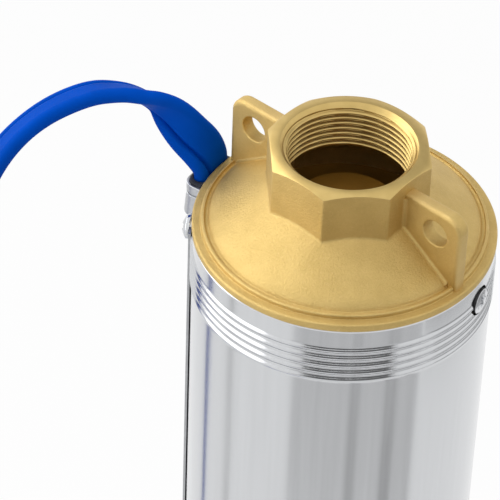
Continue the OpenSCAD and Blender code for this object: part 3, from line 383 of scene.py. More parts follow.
def eased(values, passes):
    """A list of vectors with each one drawn towards its neighbours, the ends kept."""
    for _ in range(passes):
        middle = [(a + 2 * b + c) / 4 for a, b, c in zip(values, values[1:], values[2:])]
        values = [values[0], *middle, values[-1]]
    return values


def swept(run, section):
    """Rings of a section, given as (across, through) pairs, carried along a run."""
    rings = []
    for i, (place, width) in enumerate(run):
        ahead = (run[min(i + 1, len(run) - 1)][0] - run[max(i - 1, 0)][0]).normalized()
        across = (width - width.dot(ahead) * ahead).normalized()
        through = ahead.cross(across)
        rings.append([place + u * across + v * through for u, v in section])
    return rings


def inset(outline, amount):
    """An anticlockwise outline drawn in by an amount."""
    drawn = []
    count = len(outline)
    for i in range(count):
        here = Vector(outline[i])
        before = (here - Vector(outline[i - 1])).normalized()
        after = (Vector(outline[(i + 1) % count]) - here).normalized()
        inward = (Vector((-before.y, before.x)) + Vector((-after.y, after.x))).normalized()
        lean = max(0.3, inward.dot(Vector((-after.y, after.x))))
        drawn.append(tuple(here + inward * amount / lean))
    return drawn


# Finishes

def finish(name, rough, metal=0.0, base=None):
    """A new material, its node tree and its shader."""
    material = bpy.data.materials.new(name)
    material.use_nodes = True
    tree = material.node_tree
    shader = tree.nodes["Principled BSDF"]
    shader.inputs["Roughness"].default_value = rough
    shader.inputs["Metallic"].default_value = metal
    if base is not None:
        shader.inputs["Base Color"].default_value = (*base, 1)
    return material, tree, shader


def add_node(tree, kind, inputs=None, **settings):
    """Adds a node, sets its settings, and links or sets its inputs."""
    node = tree.nodes.new(kind)
    for key, value in settings.items():
        setattr(node, key, value)
    for key, value in (inputs or {}).items():
        if isinstance(value, bpy.types.NodeSocket):
            tree.links.new(value, node.inputs[key])
        else:
            node.inputs[key].default_value = value
    return node


def place_in(tree):
    """The place on the object, in metres."""
    return add_node(tree, "ShaderNodeTexCoord").outputs["Object"]


def grain(tree, scale, detail=4.0, rough=0.55, stretch=(1, 1, 1)):
    """Noise with features of about 1/scale metres, stretched along the axes."""
    scaled = add_node(tree, "ShaderNodeMapping", {"Vector": place_in(tree), "Scale": stretch})
    node = add_node(tree, "ShaderNodeTexNoise", {"Vector": scaled.outputs["Vector"], "Scale": scale,
                                                 "Detail": detail, "Roughness": rough})
    return node.outputs["Fac"]


def spread(tree, value, low=0.3, high=0.7, to_low=0.0, to_high=1.0):
    """Maps a range of a value, by default the usual one of noise, to another range."""
    node = add_node(tree, "ShaderNodeMapRange", {"Value": value, "From Min": low, "From Max": high,
                                                 "To Min": to_low, "To Max": to_high})
    return node.outputs["Result"]


def blended(tree, factor, first, second):
    """Colour between two colours."""
    node = add_node(tree, "ShaderNodeMix", data_type="RGBA")
    tree.links.new(factor, node.inputs["Factor"])
    for socket, value in ((node.inputs[6], first), (node.inputs[7], second)):
        if isinstance(value, bpy.types.NodeSocket):
            tree.links.new(value, socket)
        else:
            socket.default_value = (*value, 1)
    return node.outputs[2]


def bumped(tree, shader, height, strength, depth):
    """Raises the surface by a height map."""
    node = add_node(tree, "ShaderNodeBump", {"Height": height, "Strength": strength, "Distance": depth})
    tree.links.new(node.outputs["Normal"], shader.inputs["Normal"])


def coloured(tree, shader, factor, first, second):
    """Colours the shader between two colours."""
    tree.links.new(blended(tree, factor, first, second), shader.inputs["Base Color"])


def roughened(tree, shader, value, low, high):
    """Lets the roughness follow a noise between two values."""
    tree.links.new(spread(tree, value, to_low=low, to_high=high), shader.inputs["Roughness"])


def tint(tone, share):
    """A colour made darker or lighter by a share."""
    return tuple(c * share for c in tone)


def cast_brass(colours):
    """Blasted sand-cast brass: fine grain, dull patches and lighter rubbed edges."""
    material, tree, shader = finish("cast_brass", 0.5, 1.0)
    patches = spread(tree, grain(tree, 110, 3), 0.36, 0.66)
    tone = blended(tree, patches, colours.brass_dull, colours.brass)
    speckle = spread(tree, grain(tree, 1500, 2, 0.6), 0.55, 0.75, 0.0, 0.45)
    tone = blended(tree, speckle, tone, colours.brass_cut)
    shape = add_node(tree, "ShaderNodeNewGeometry")
    rubbed = spread(tree, shape.outputs["Pointiness"], 0.52, 0.62, 0.0, 0.8)
    coloured(tree, shader, rubbed, tone, colours.brass_cut)
    fine = grain(tree, 1300, 5, 0.7)
    roughened(tree, shader, fine, 0.46, 0.60)
    bumped(tree, shader, fine, 0.9, 0.0003)
    return material


def machined_brass(colours):
    """Turned brass with fine tool marks round the axis."""
    material, tree, shader = finish("machined_brass", 0.36, 1.0)
    patches = spread(tree, grain(tree, 160, 2), 0.35, 0.65)
    coloured(tree, shader, patches, colours.brass_dull, colours.brass)
    parts = add_node(tree, "ShaderNodeSeparateXYZ", {"Vector": place_in(tree)})
    flat = add_node(tree, "ShaderNodeCombineXYZ", {"X": parts.outputs["X"], "Y": parts.outputs["Y"]})
    radius = add_node(tree, "ShaderNodeVectorMath", {0: flat.outputs["Vector"]}, operation="LENGTH")
    rings = add_node(tree, "ShaderNodeTexNoise", {"W": radius.outputs["Value"], "Scale": 5200, "Detail": 2},
                     noise_dimensions="1D")
    bumped(tree, shader, rings.outputs["Fac"], 0.25, 0.00003)
    return material


def polished_steel(colours):
    """Polished stainless sheet, faintly drawn along its length."""
    material, tree, shader = finish("polished_stainless", 0.1, 1.0)
    drawn = grain(tree, 420, 3, 0.5, (1, 1, 0.03))
    coloured(tree, shader, spread(tree, drawn), tint(colours.steel, 0.95), colours.steel)
    roughened(tree, shader, drawn, 0.13, 0.20)
    bumped(tree, shader, drawn, 0.05, 0.00004)
    return material


def plain_steel(colours, name, rough, share):
    """Turned or drawn steel with a little mottling."""
    material, tree, shader = finish(name, rough, 1.0)
    mottle = grain(tree, 500, 4)
    light = tint(colours.steel, share)
    coloured(tree, shader, spread(tree, mottle), tint(light, 0.82), light)
    roughened(tree, shader, mottle, rough * 0.8, rough * 1.25)
    return material


def soft_rubber(colours):
    """Moulded black rubber with a dusty bloom."""
    material, tree, shader = finish("black_rubber", 0.62)
    bloom = spread(tree, grain(tree, 240, 5), 0.45, 0.8)
    coloured(tree, shader, bloom, colours.rubber, tint(colours.rubber, 2.6))
    shader.inputs["Specular IOR Level"].default_value = 0.35
    bumped(tree, shader, grain(tree, 1900, 3), 0.25, 0.00008)
    return material


def cable_sheath(colours):
    """Satin blue sheath with a faint extruded grain."""
    material, tree, shader = finish("blue_cable", 0.38)
    patches = spread(tree, grain(tree, 55, 3), 0.35, 0.65)
    coloured(tree, shader, patches, tint(colours.cable, 0.86), colours.cable)
    shader.inputs["Specular IOR Level"].default_value = 0.02
    skin = grain(tree, 1500, 3)
    roughened(tree, shader, skin, 0.45, 0.58)
    bumped(tree, shader, skin, 0.12, 0.00005)
    return material


def moulded(name, base, rough):
    """Moulded plastic or coated casting with a fine skin and slight shading."""
    material, tree, shader = finish(name, rough)
    patches = spread(tree, grain(tree, 70, 4), 0.35, 0.65)
    coloured(tree, shader, patches, tint(base, 0.8), base)
    skin = grain(tree, 1600, 4)
    roughened(tree, shader, skin, rough * 0.85, rough * 1.15)
    bumped(tree, shader, skin, 0.2, 0.00008)
    return material


def laminated(colours):
    """Stack of thin steel sheets."""
    material, tree, shader = finish("lamination_steel", 0.45, 1.0)
    sheets = add_node(tree, "ShaderNodeTexWave", {"Vector": place_in(tree), "Scale": 320},
                      bands_direction="Z")
    coloured(tree, shader, sheets.outputs["Fac"], tint(colours.steel, 0.4), tint(colours.steel, 0.6))
    bumped(tree, shader, sheets.outputs["Fac"], 0.5, 0.0001)
    return material


def wound_copper(colours):
    """Varnished copper wire."""
    material, tree, shader = finish("winding_copper", 0.35, 1.0)
    strands = grain(tree, 700, 2, 0.5, (1, 1, 0.15))
    coloured(tree, shader, spread(tree, strands, 0.35, 0.65), tint(colours.copper, 0.55), colours.copper)
    bumped(tree, shader, strands, 0.5, 0.0003)
    return material


def material_for(look):
    """A record slot's finish or another of the pump's own, made once, apart from the frame's plain ones."""
    own = "pump_" + look
    if own in bpy.data.materials:
        return bpy.data.materials[own]
    colours = bpy.context.scene.pump_finish
    # Roughness and lightness of the plain steels, colour and roughness of the moulded parts
    steels = {
        "pressed_steel": (0.36, 0.88),
        # Dark dull steel as painted shade: the lock screw hole's wall and the head's brow, where shade
        # falls
        "shade_painted_steel": (0.50, 0.12),
        "steel_fasteners": (0.16, 1.1),
        "steel_shafting": (0.22, 0.95),
        "spring_steel": (0.30, 0.85),
    }
    mouldings = {
        "black_plastic": ((0.015, 0.015, 0.016), 0.42),
        "brown_plastic": (colours.valve, 0.45),
        "stage_plastic": (colours.stage, 0.40),
        "cast_iron": (colours.casting, 0.55),
        "carbon": (colours.carbon, 0.38),
        "white_ceramic": (colours.ceramic, 0.15),
    }
    makers = {
        "cast_brass": cast_brass,
        "machined_brass": machined_brass,
        "polished_stainless": polished_steel,
        "black_rubber": soft_rubber,
        "blue_cable": cable_sheath,
        "lamination_steel": laminated,
        "winding_copper": wound_copper,
    }
    if look in steels:
        made = plain_steel(colours, look, *steels[look])
    elif look in mouldings:
        made = moulded(look, *mouldings[look])
    else:
        made = makers[look](colours)
    made.name = own
    return made


# Operators

class PUMP_OT_set_stage(bpy.types.Operator):
    """Sets the floor, the lights and the camera"""
    bl_idname = "pump.set_stage"
    bl_label = "Set the stage"

    def execute(self, context):
        studio = context.scene.pump_studio
        context.scene.view_settings.view_transform = "Standard"
        self.add_camera(context, studio)
        self.add_floor(studio)
        self.add_world(context, studio)
        # Name, place from the rim, width, height, power, and whether reflections show it
        for name, place, wide, tall, power, shown in (
                ("key_light", (-0.92, 0.36, 0.62), 1.2, 1.2, studio.key_power, True),
                ("side_light", (-1.05, -0.3, 0.15), 1.0, 0.8, studio.side_power, True),
                ("fill_light", (0.55, -0.95, 0.75), 0.8, 0.8, studio.fill_power, False),
                ("top_light", (-0.25, 0.15, 1.25), 0.8, 0.8, studio.top_power, False)):
            self.add_light(name, place, wide, tall, power).visible_glossy = shown
        self.add_flags()
        return {"FINISHED"}

    def add_camera(self, context, studio):
        data = bpy.data.cameras.new("camera")
        data.sensor_width = 36
        data.lens = studio.lens
        data.clip_start, data.clip_end = 0.05, 50
        camera = bpy.data.objects.new("camera", data)
        context.scene.collection.objects.link(camera)
        context.scene.camera = camera
        yaw, pitch, roll = studio.yaw, studio.pitch, studio.roll
        ahead = Vector((math.sin(yaw) * math.cos(pitch), math.cos(yaw) * math.cos(pitch), -math.sin(pitch)))
        right = Vector((math.cos(yaw), -math.sin(yaw), 0))
        up = right.cross(ahead)
        side = math.cos(roll) * right + math.sin(roll) * up
        top = math.cos(roll) * up - math.sin(roll) * right
        turned = Matrix((side, top, -ahead)).transposed().to_4x4()
        camera.matrix_world = Matrix.Translation(studio.camera) @ turned

    def seen_ray(self, tree):
        """1 for camera, glossy and transmission rays, which see the white studio"""
        path = add_node(tree, "ShaderNodeLightPath")
        seen = path.outputs["Is Camera Ray"]
        for kind in ("Is Glossy Ray", "Is Transmission Ray"):
            either = add_node(tree, "ShaderNodeMath", {0: seen, 1: path.outputs[kind]}, operation="MAXIMUM")
            seen = either.outputs[0]
        return seen

    def add_floor(self, studio):
        size = 6.0
        corners = [(-size, -size, 0), (size, -size, 0), (size, size, 0), (-size, size, 0)]
        material, tree, shader = finish("studio_floor", 0.9, 0.0, studio.floor)
        shader.inputs["Specular IOR Level"].default_value = 0.0
        white = add_node(tree, "ShaderNodeEmission", {"Color": (1, 1, 1, 1), "Strength": 1.0})
        share = spread(tree, self.seen_ray(tree), 0, 1, 0, studio.floor_white)
        mixed = add_node(tree, "ShaderNodeMixShader", {0: share, 1: shader.outputs[0], 2: white.outputs[0]})
        tree.links.new(mixed.outputs[0], tree.nodes["Material Output"].inputs["Surface"])
        add_mesh("studio_floor", (corners, [(0, 1, 2, 3)]), materials=[material])

    def add_world(self, context, studio):
        world = bpy.data.worlds.new("studio")
        context.scene.world = world
        world.use_nodes = True
        tree = world.node_tree
        ground = tree.nodes["Background"]
        ground.inputs["Color"].default_value = (1, 1, 1, 1)
        strength = spread(tree, self.seen_ray(tree), 0, 1, studio.ambient, 1.0)
        tree.links.new(strength, ground.inputs["Strength"])

    def add_light(self, name, place, wide, tall, power):
        data = bpy.data.lights.new(name, "AREA")
        data.shape = "RECTANGLE"
        data.size, data.size_y = wide, tall
        data.energy = power
        light = bpy.data.objects.new(name, data)
        light.visible_camera = False
        bpy.context.scene.collection.objects.link(light)
        rim = Vector((0, 0, RIM_Z))
        place = rim + Vector(place)
        aim = (rim - place).to_track_quat("-Z", "Y")
        light.matrix_world = Matrix.Translation(place) @ aim.to_matrix().to_4x4()
        return light

    def add_flags(self):
        """Cards that only reflections see: name, first and last azimuth, distance, foot, top, grey"""
        cards = [
            ("flag_front", -32, 62, 0.60, 0.001, 0.30, 0.70),
            ("flag_stripe_a", 12, 19, 0.57, 0.001, 0.30, 0.48),
            ("flag_stripe_b", 39, 47, 0.57, 0.001, 0.30, 0.40),
            ("flag_stripe_c", 58, 64, 0.57, 0.001, 0.30, 0.58),
            ("flag_left", -90, -83, 0.60, 0.001, 0.30, 0.70),
            ("flag_right", 66, 128, 0.50, 0.275, 0.62, 0.45),
            ("flag_back", 125, 190, 0.90, RIM_Z + 0.45, RIM_Z + 1.35, 0.45),
            ("flag_low_front", -30, 62, 0.50, 0.275, 0.60, 0.66),
            ("flag_ridges", -21, 37, 0.50, 0.60, 0.90, 0.12),
        ]
        steps = 24
        for name, first, last, distance, foot, top, grey in cards:
            material, _, shader = finish(name, 1.0, 0.0, (0, 0, 0))
            shader.inputs["Specular IOR Level"].default_value = 0.0
            shader.inputs["Emission Color"].default_value = (grey, grey, grey, 1)
            shader.inputs["Emission Strength"].default_value = 1.0
            points = []
            for i in range(steps + 1):
                out = facing(math.radians(first + (last - first) * i / steps)) * distance
                points += [out + Vector((0, 0, foot)), out + Vector((0, 0, top))]
            faces = [(2 * i, 2 * i + 2, 2 * i + 3, 2 * i + 1) for i in range(steps)]
            card = add_mesh(name, (points, faces), materials=[material])
            card.visible_camera = False
            card.visible_diffuse = False
            card.visible_shadow = False
            card.visible_transmission = False


class PUMP_OT_lay_cable(bpy.types.Operator):
    """Lays the flat cable from the grommet, over its arch, down to the floor and into its coil"""
    bl_idname = "pump.lay_cable"
    bl_label = "Lay the cable"

    def execute(self, context):
        size = context.scene.pump_cable
        mouth = facing(size.azimuth) * lead_radius(size) + Vector((0, 0, RIM_Z))
        stations = [(mouth + Vector(p), Vector(w)) for p, w in ARCH]
        stations += [(Vector(p), Vector(w)) for p, w in DROP]
        free = curve_through(stations)
        place_passes, width_passes = 10, 40
        places = eased([p for p, w in free], place_passes)
        widths = eased([w.normalized() for p, w in free], width_passes)
        run = list(zip(places, widths)) + self.coil_run(size)
        cable = add_piece("flat_cable", loft(swept(run, self.section(size))), "blue_cable", 60)
        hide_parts("free_cable", "cable_coil")
        cores = self.add_cores(size, run)
        return {"FINISHED"}

    def section(self, size):
        """Outline of the sheath: a flat band and, past a groove, one round core along its edge"""
        half, thick = size.width / 2, size.thickness / 2
        steps = 40
        upper = []
        for i in range(steps):
            u = -math.cos(math.pi * (i + 0.5) / steps) * half
            edge = min(1.0, (half - abs(u)) / thick)
            height = thick * math.sqrt(1 - (1 - edge) ** 2)
            off = abs(u - size.groove_at) / size.groove_width
            upper.append((u, height - size.groove_depth * (1 - smooth(off))))
        return upper + [(u, -v) for u, v in reversed(upper)]

    def coil_run(self, size):
        per_turn = 48
        run = []
        for k in range(1, size.coil_turns * per_turn + 1):
            a = -2 * math.pi * k / per_turn
            r = size.coil_radius - size.coil_pitch * k / per_turn
            place = Vector((size.coil_x + r * math.cos(a), size.coil_y + r * math.sin(a), size.coil_level))
            run.append((place, Vector((0, 0, -1))))
        return run

    def add_cores(self, size, run):
        """Insulated cores with bare copper tips at the cable's cut end"""
        end, ahead = run[-1][0], (run[-1][0] - run[-2][0]).normalized()
        inward = (Vector((size.coil_x, size.coil_y, end.z)) - end).normalized()
        made = []
        cores_at = (-0.0053, -0.0025, 0.0003, 0.0053)
        fanning, curl = 12, 4
        for name, slot, radius, start, stop in (("cable_cores", "black_plastic", 0.0013, -0.001, 0.022),
                                                ("copper_tips", "winding_copper", 0.0008, 0.021, 0.031)):
            parts = []
            for across in cores_at:
                stations = []
                for t in (start, (start + stop) / 2, stop):
                    fan = Vector((0, 0, -across * (1 + fanning * max(t, 0))))
                    stations.append((end + ahead * t + inward * curl * t * t + fan, inward))
                parts.append(loft(swept(curve_through(stations), circle(0, 0, radius, 16))))
            made.append(add_piece(name, joined(parts), slot, 50))
        return made


def lead_radius(size):
    """Distance of the lead's middle from the pump's axis."""
    return (size.channel_foot + size.channel_top - size.sheet) / 2


class PUMP_OT_cast_head(bpy.types.Operator):
    """Builds the brass delivery head with its thread, fillets and lifting lugs"""
    bl_idname = "pump.cast_head"
    bl_label = "Cast the delivery head"

    segments = 480
    thread_rows = 110

    def execute(self, context):
        size = context.scene.pump_head
        turned = lathe(lambda angle: self.profile(size, angle), self.segments, size.lug_azimuth)
        rows = len(self.profile(size, 0.0))
        parts = [turned]
        for side in (0, math.pi):
            parts += [moved(p, outward(size.lug_azimuth + side)) for p in self.lug(size)]
        finishes = [material_for("cast_brass"), material_for("machined_brass")]
        head = add_piece("delivery_head_casting", joined(parts), "cast_brass", 38, finishes)
        # Rows of the profile that are machined: the neck's chamfer and top, the mouth and its thread
        first = len(self.outside(size, 0.0)) - 2
        last = first + 4 + self.thread_rows
        for index in range(len(turned[1])):
            if first <= index % rows < last:
                head.data.polygons[index].material_index = 1
        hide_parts("delivery_head")
        return {"FINISHED"}

    def octagon(self, size, angle):
        """Polar radius of the neck, its corners rounded, measured from the middle of a flat"""
        flat, r = size.across_flats / 2, size.corner_round
        eighth = math.pi / 8
        a = abs((angle + eighth) % (2 * eighth) - eighth)
        if flat * math.tan(a) <= (flat - r) * math.tan(eighth):
            return flat / math.cos(a)
        middle = (flat - r) / math.cos(eighth)
        off = eighth - a
        return middle * math.cos(off) + math.sqrt(r * r - (middle * math.sin(off)) ** 2)

    def levels(self, size):
        """Heights of the ledge, the step and the throat"""
        ledge = RIM_Z + size.rim_height
        return ledge, ledge + size.step_height, NECK_Z - size.mouth_length

    def cone(self, size):
        """Radius of the cone's foot and its slope"""
        foot = RIM_R - size.ledge_width - size.step_width
        corner = size.across_flats / 2 / math.cos(math.pi / 8)
        return foot, math.atan2(size.cone_height, foot - corner)

    def outside(self, size, angle):
        """Profile from the skirt's foot up the outside to the top of the neck, as (radius, height)"""
        ledge, step, _ = self.levels(size)
        foot, slope = self.cone(size)
        step_r = RIM_R - size.ledge_width
        skirt_r = SHELL_HIGH.x - size.skirt_gap
        wall = self.octagon(size, angle)
        soft, cone_rows, fillet_rows = 0.0005, 5, 7
        rim_top, step_foot, step_top = 1.6 * soft, 0.6 * soft, 1.4 * soft
        rows = [(skirt_r, SKIRT_Z), (skirt_r, RIM_Z)]
        rows += arc(RIM_R - soft, RIM_Z + soft, soft, -90, 0, 4)
        rows += arc(RIM_R - rim_top, ledge - rim_top, rim_top, 0, 90, 6)
        rows += arc(step_r + step_foot, ledge + step_foot, step_foot, -90, -180, 4)
        rows += arc(step_r - step_top, step - step_top, step_top, 0, 90, 6)
        rows += arc(foot + 0.4 * size.groove, step, size.groove, 0, -150, 9)
        start_r = foot - size.groove
        start_z = step + (foot - start_r) * math.tan(slope)
        bend = math.pi / 2 - slope
        reach = size.foot_fillet * math.tan(bend / 2)
        fillet_r = wall + reach * math.cos(slope)
        fillet_z = step + (foot - wall) * math.tan(slope) - reach * math.sin(slope)
        for i in range(cone_rows):
            t = i / cone_rows
            rows.append((start_r + (fillet_r - start_r) * t, start_z + (fillet_z - start_z) * t))
        for i in range(fillet_rows + 1):
            a = slope + bend * i / fillet_rows
            rows.append((fillet_r + size.foot_fillet * (math.sin(slope) - math.sin(a)),
                         fillet_z + size.foot_fillet * (math.cos(slope) - math.cos(a))))
        top_r = size.across_flats / 2 - size.top_margin
        chamfer_z = NECK_Z - (wall - top_r) * math.tan(size.chamfer_slope)
        low_z = rows[-1][1]
        rows += [(wall, low_z + (chamfer_z - low_z) * t) for t in (0.35, 0.7, 0.93, 1.0)]
        rows.append((top_r, NECK_Z))
        return rows

    def inside(self, size, angle):
        """Profile down the mouth's thread and the waterway to the skirt's foot"""
        _, step, throat = self.levels(size)
        root, chamfer, pitch = size.mouth_radius, size.mouth_chamfer, size.thread_pitch
        rows = [(root + chamfer, NECK_Z), (root + chamfer * 0.5, NECK_Z - chamfer * 0.5)]
        high = NECK_Z - chamfer
        # The flanks' steepness and the root's width, and how fast the thread starts and runs out
        steep, root_width = 1.25, 0.1
        start, lead_in, run_out = 0.15, 1.2, 2
        for i in range(self.thread_rows + 1):
            z = high + (throat - high) * i / self.thread_rows
            phase = (z / pitch - angle / (2 * math.pi)) % 1.0
            ridge = smooth((1 - abs(2 * phase - 1)) * steep - root_width)
            fade = smooth((high - z) / pitch * lead_in + start) * smooth((z - throat) / pitch * run_out)
            rows.append((root - size.thread_depth * ridge * fade, z))
        foot, _ = self.cone(size)
        wide = foot - size.cone_wall
        seat = RIM_Z - size.shoulder_drop
        skirt_in = SHELL_HIGH.x - size.skirt_gap - size.skirt_wall
        below_throat = throat - 0.0001
        rows += [(root + size.throat_step, below_throat), (wide, step), (wide, seat)]
        return rows + [(skirt_in, seat), (skirt_in, SKIRT_Z)]

    def profile(self, size, angle):
        return self.outside(size, angle) + self.inside(size, angle)

    def lug(self, size):
        """Plate with rounded edges and a rope hole, and the cast fillets at its foot"""
        ledge, step, _ = self.levels(size)
        foot, slope = self.cone(size)
        flat, half = size.across_flats / 2, size.lug_thickness / 2
        reach, top, corner = RIM_R - size.lug_inset, NECK_Z - size.lug_drop, size.lug_corner
        # The plate goes into the neck and the ledge, and its fillets into the cone, the neck and the plate
        bury, sunk, below, lap = 0.002, 0.0009, 0.0008, 0.0005
        steps = 12
        low = ledge - sunk
        outline = [(flat - bury, low), (reach, low)]
        outline += arc(reach - corner, top - corner, corner, 0, 90, 14)
        outline.append((flat - bury, top))
        hole = circle(reach - size.hole_in, top - size.hole_drop, size.hole_radius, 48)
        parts = [self.plate(outline, hole, half, size.lug_edge, size.hole_edge)]
        r = size.lug_fillet
        for side in (1, -1):
            rings = []
            for i in range(steps + 1):
                x = flat - lap + (foot - flat + 0.6 * lap) * i / steps
                z = step + (foot - x) * math.tan(slope)
                ring = [(half - lap, z + r)]
                ring += [(half + r - r * math.cos(a), z + r - r * math.sin(a)) for a in QUARTER]
                ring += [(half + r, z - below), (half - lap, z - below)]
                rings.append([Vector((x, side * y, h)) for y, h in ring])
            parts.append(loft(rings))
            ring = [(flat + r, half - lap)]
            ring += [(flat + r - r * math.sin(a), half + r - r * math.cos(a)) for a in QUARTER]
            ring += [(flat - lap, half + r), (flat - lap, half - lap)]
            cone_top = step + (foot - flat) * math.tan(slope)
            heights = (cone_top - 2 * lap, (top + step) / 2, top - size.lug_edge)
            parts.append(loft([[Vector((x, side * y, z)) for x, y in ring] for z in heights]))
        return parts

    def plate(self, outline, hole, half, edge, hole_edge):
        """Upright plate in the local XZ plane with rounded edges and one rounded hole"""
        def ring(path, drawn, y):
            return [Vector((x, y, z)) for x, z in inset(path, drawn)]

        margin = 0.0005
        sides = [(edge * (1 - math.cos(a)), half - edge + edge * math.sin(a)) for a in QUARTER]
        sides.append((edge + margin, half))
        rim = [ring(outline, d, -y) for d, y in reversed(sides)] + [ring(outline, d, y) for d, y in sides]
        walls = [(hole_edge * (math.cos(a) - 1), half - hole_edge + hole_edge * math.sin(a))
                 for a in QUARTER]
        walls.append((-hole_edge - margin, half))
        bore = [ring(hole, d, -y) for d, y in reversed(walls)] + [ring(hole, d, y) for d, y in walls]
        points, faces = [], []
        for rings in (rim, bore):
            base = len(points)
            more, skin = loft(rings)
            points += more
            faces += [tuple(base + i for i in face) for face in skin[:-2]]
        count, holes = len(outline), len(hole)
        bore_base = len(rim) * count
        for front in (0, 1):
            outer = (len(rim) - 1) * count * front
            inner = bore_base + (len(bore) - 1) * holes * front
            index = list(range(outer, outer + count)) + list(range(inner, inner + holes))
            flat = [[Vector((points[i].x, points[i].z, 0)) for i in index[:count]],
                    [Vector((points[i].x, points[i].z, 0)) for i in index[count:]]]
            faces += [tuple(index[i] for i in corners) for corners in tessellate_polygon(flat)]
        return points, faces


class PUMP_OT_roll_shells(bpy.types.Operator):
    """Turns the pump shell with its rolled ridges and screw hole, and the motor's shell"""
    bl_idname = "pump.roll_shells"
    bl_label = "Roll the shells"

    crease = 40

    def execute(self, context):
        size = context.scene.pump_shell
        shell = add_piece("pump_shell_rolled", self.pump_shell(size), "polished_stainless", self.crease)
        self.drill(shell, size)
        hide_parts("pump_shell")
        motor = add_piece("motor_shell_rolled", self.motor_shell(size), "polished_stainless", self.crease)
        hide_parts("motor_shell")
        return {"FINISHED"}

    def pump_shell(self, size):
        shell_r = SHELL_HIGH.x - size.ridge_height
        inner = shell_r - size.wall
        soft, beside, half_rows = 0.0003, 0.0006, 7
        profile = [(shell_r - soft, SHELL_LOW.z), (shell_r, SHELL_LOW.z + soft)]
        lowest = RIM_Z - size.ridge_drop - (size.ridge_count - 0.5) * size.ridge_pitch
        # Rows beside the ridges keep the plain wall's shading flat
        profile += [(shell_r, lowest - 2 * beside), (shell_r, lowest - beside)]
        for ridge in reversed(range(size.ridge_count)):
            middle = RIM_Z - size.ridge_drop - ridge * size.ridge_pitch
            for i in range(2 * half_rows + 1):
                t = -1 + i / half_rows
                swell = 0.5 + 0.5 * math.cos(math.pi * t)
                profile.append((shell_r + size.ridge_height * swell, middle + t * size.ridge_width / 2))
        profile += [(shell_r, RIM_Z - size.ridge_drop + size.ridge_pitch * k) for k in (0.6, 0.8)]
        profile += [(shell_r, RIM_Z - 2 * beside), (shell_r, RIM_Z - 2 * soft)]
        profile += [(shell_r - soft, RIM_Z - soft), (inner, RIM_Z - soft), (inner, SHELL_LOW.z)]
        return lathe(lambda angle: profile)

    def motor_shell(self, size):
        low, high, r = MOTOR_LOW.z, MOTOR_HIGH.z, MOTOR_R
        soft, plain = 0.0003, 0.01
        profile = [(r - soft, low), (r, low + soft), (r, low + plain), (r, high - plain), (r, high - soft),
                   (r - soft, high), (r - size.wall, high), (r - size.wall, low)]
        return lathe(lambda angle: profile)

    def drill(self, shell, size):
        """Cuts the hole round the head's lock screw, its wall in dark steel as painted shade"""
        behind, before = SHELL_HIGH.x - 0.006, SHELL_HIGH.x + 0.004
        rings = [[Vector((x, y, z)) for y, z in circle(0, 0, size.lock_hole, 64)] for x in (behind, before)]
        place = outward(size.lock_azimuth) @ Matrix.Translation((0, 0, RIM_Z - size.screw_drop))
        cutter = add_mesh("lock_hole", moved(loft(rings), place), "shade_painted_steel")
        cut = shell.modifiers.new("lock_hole", "BOOLEAN")
        cut.operation = "DIFFERENCE"
        # The hole's wall takes the cutter's dark steel: painted shade for the dim depth of the hole
        cut.material_mode = "TRANSFER"
        cut.object = cutter
        bpy.context.view_layer.update()
        graph = bpy.context.evaluated_depsgraph_get()
        drilled = bpy.data.meshes.new_from_object(shell.evaluated_get(graph))
        shell.modifiers.remove(cut)
        shell.data = drilled
        bpy.data.objects.remove(cutter)
        drilled.set_sharp_from_angle(angle=math.radians(self.crease))


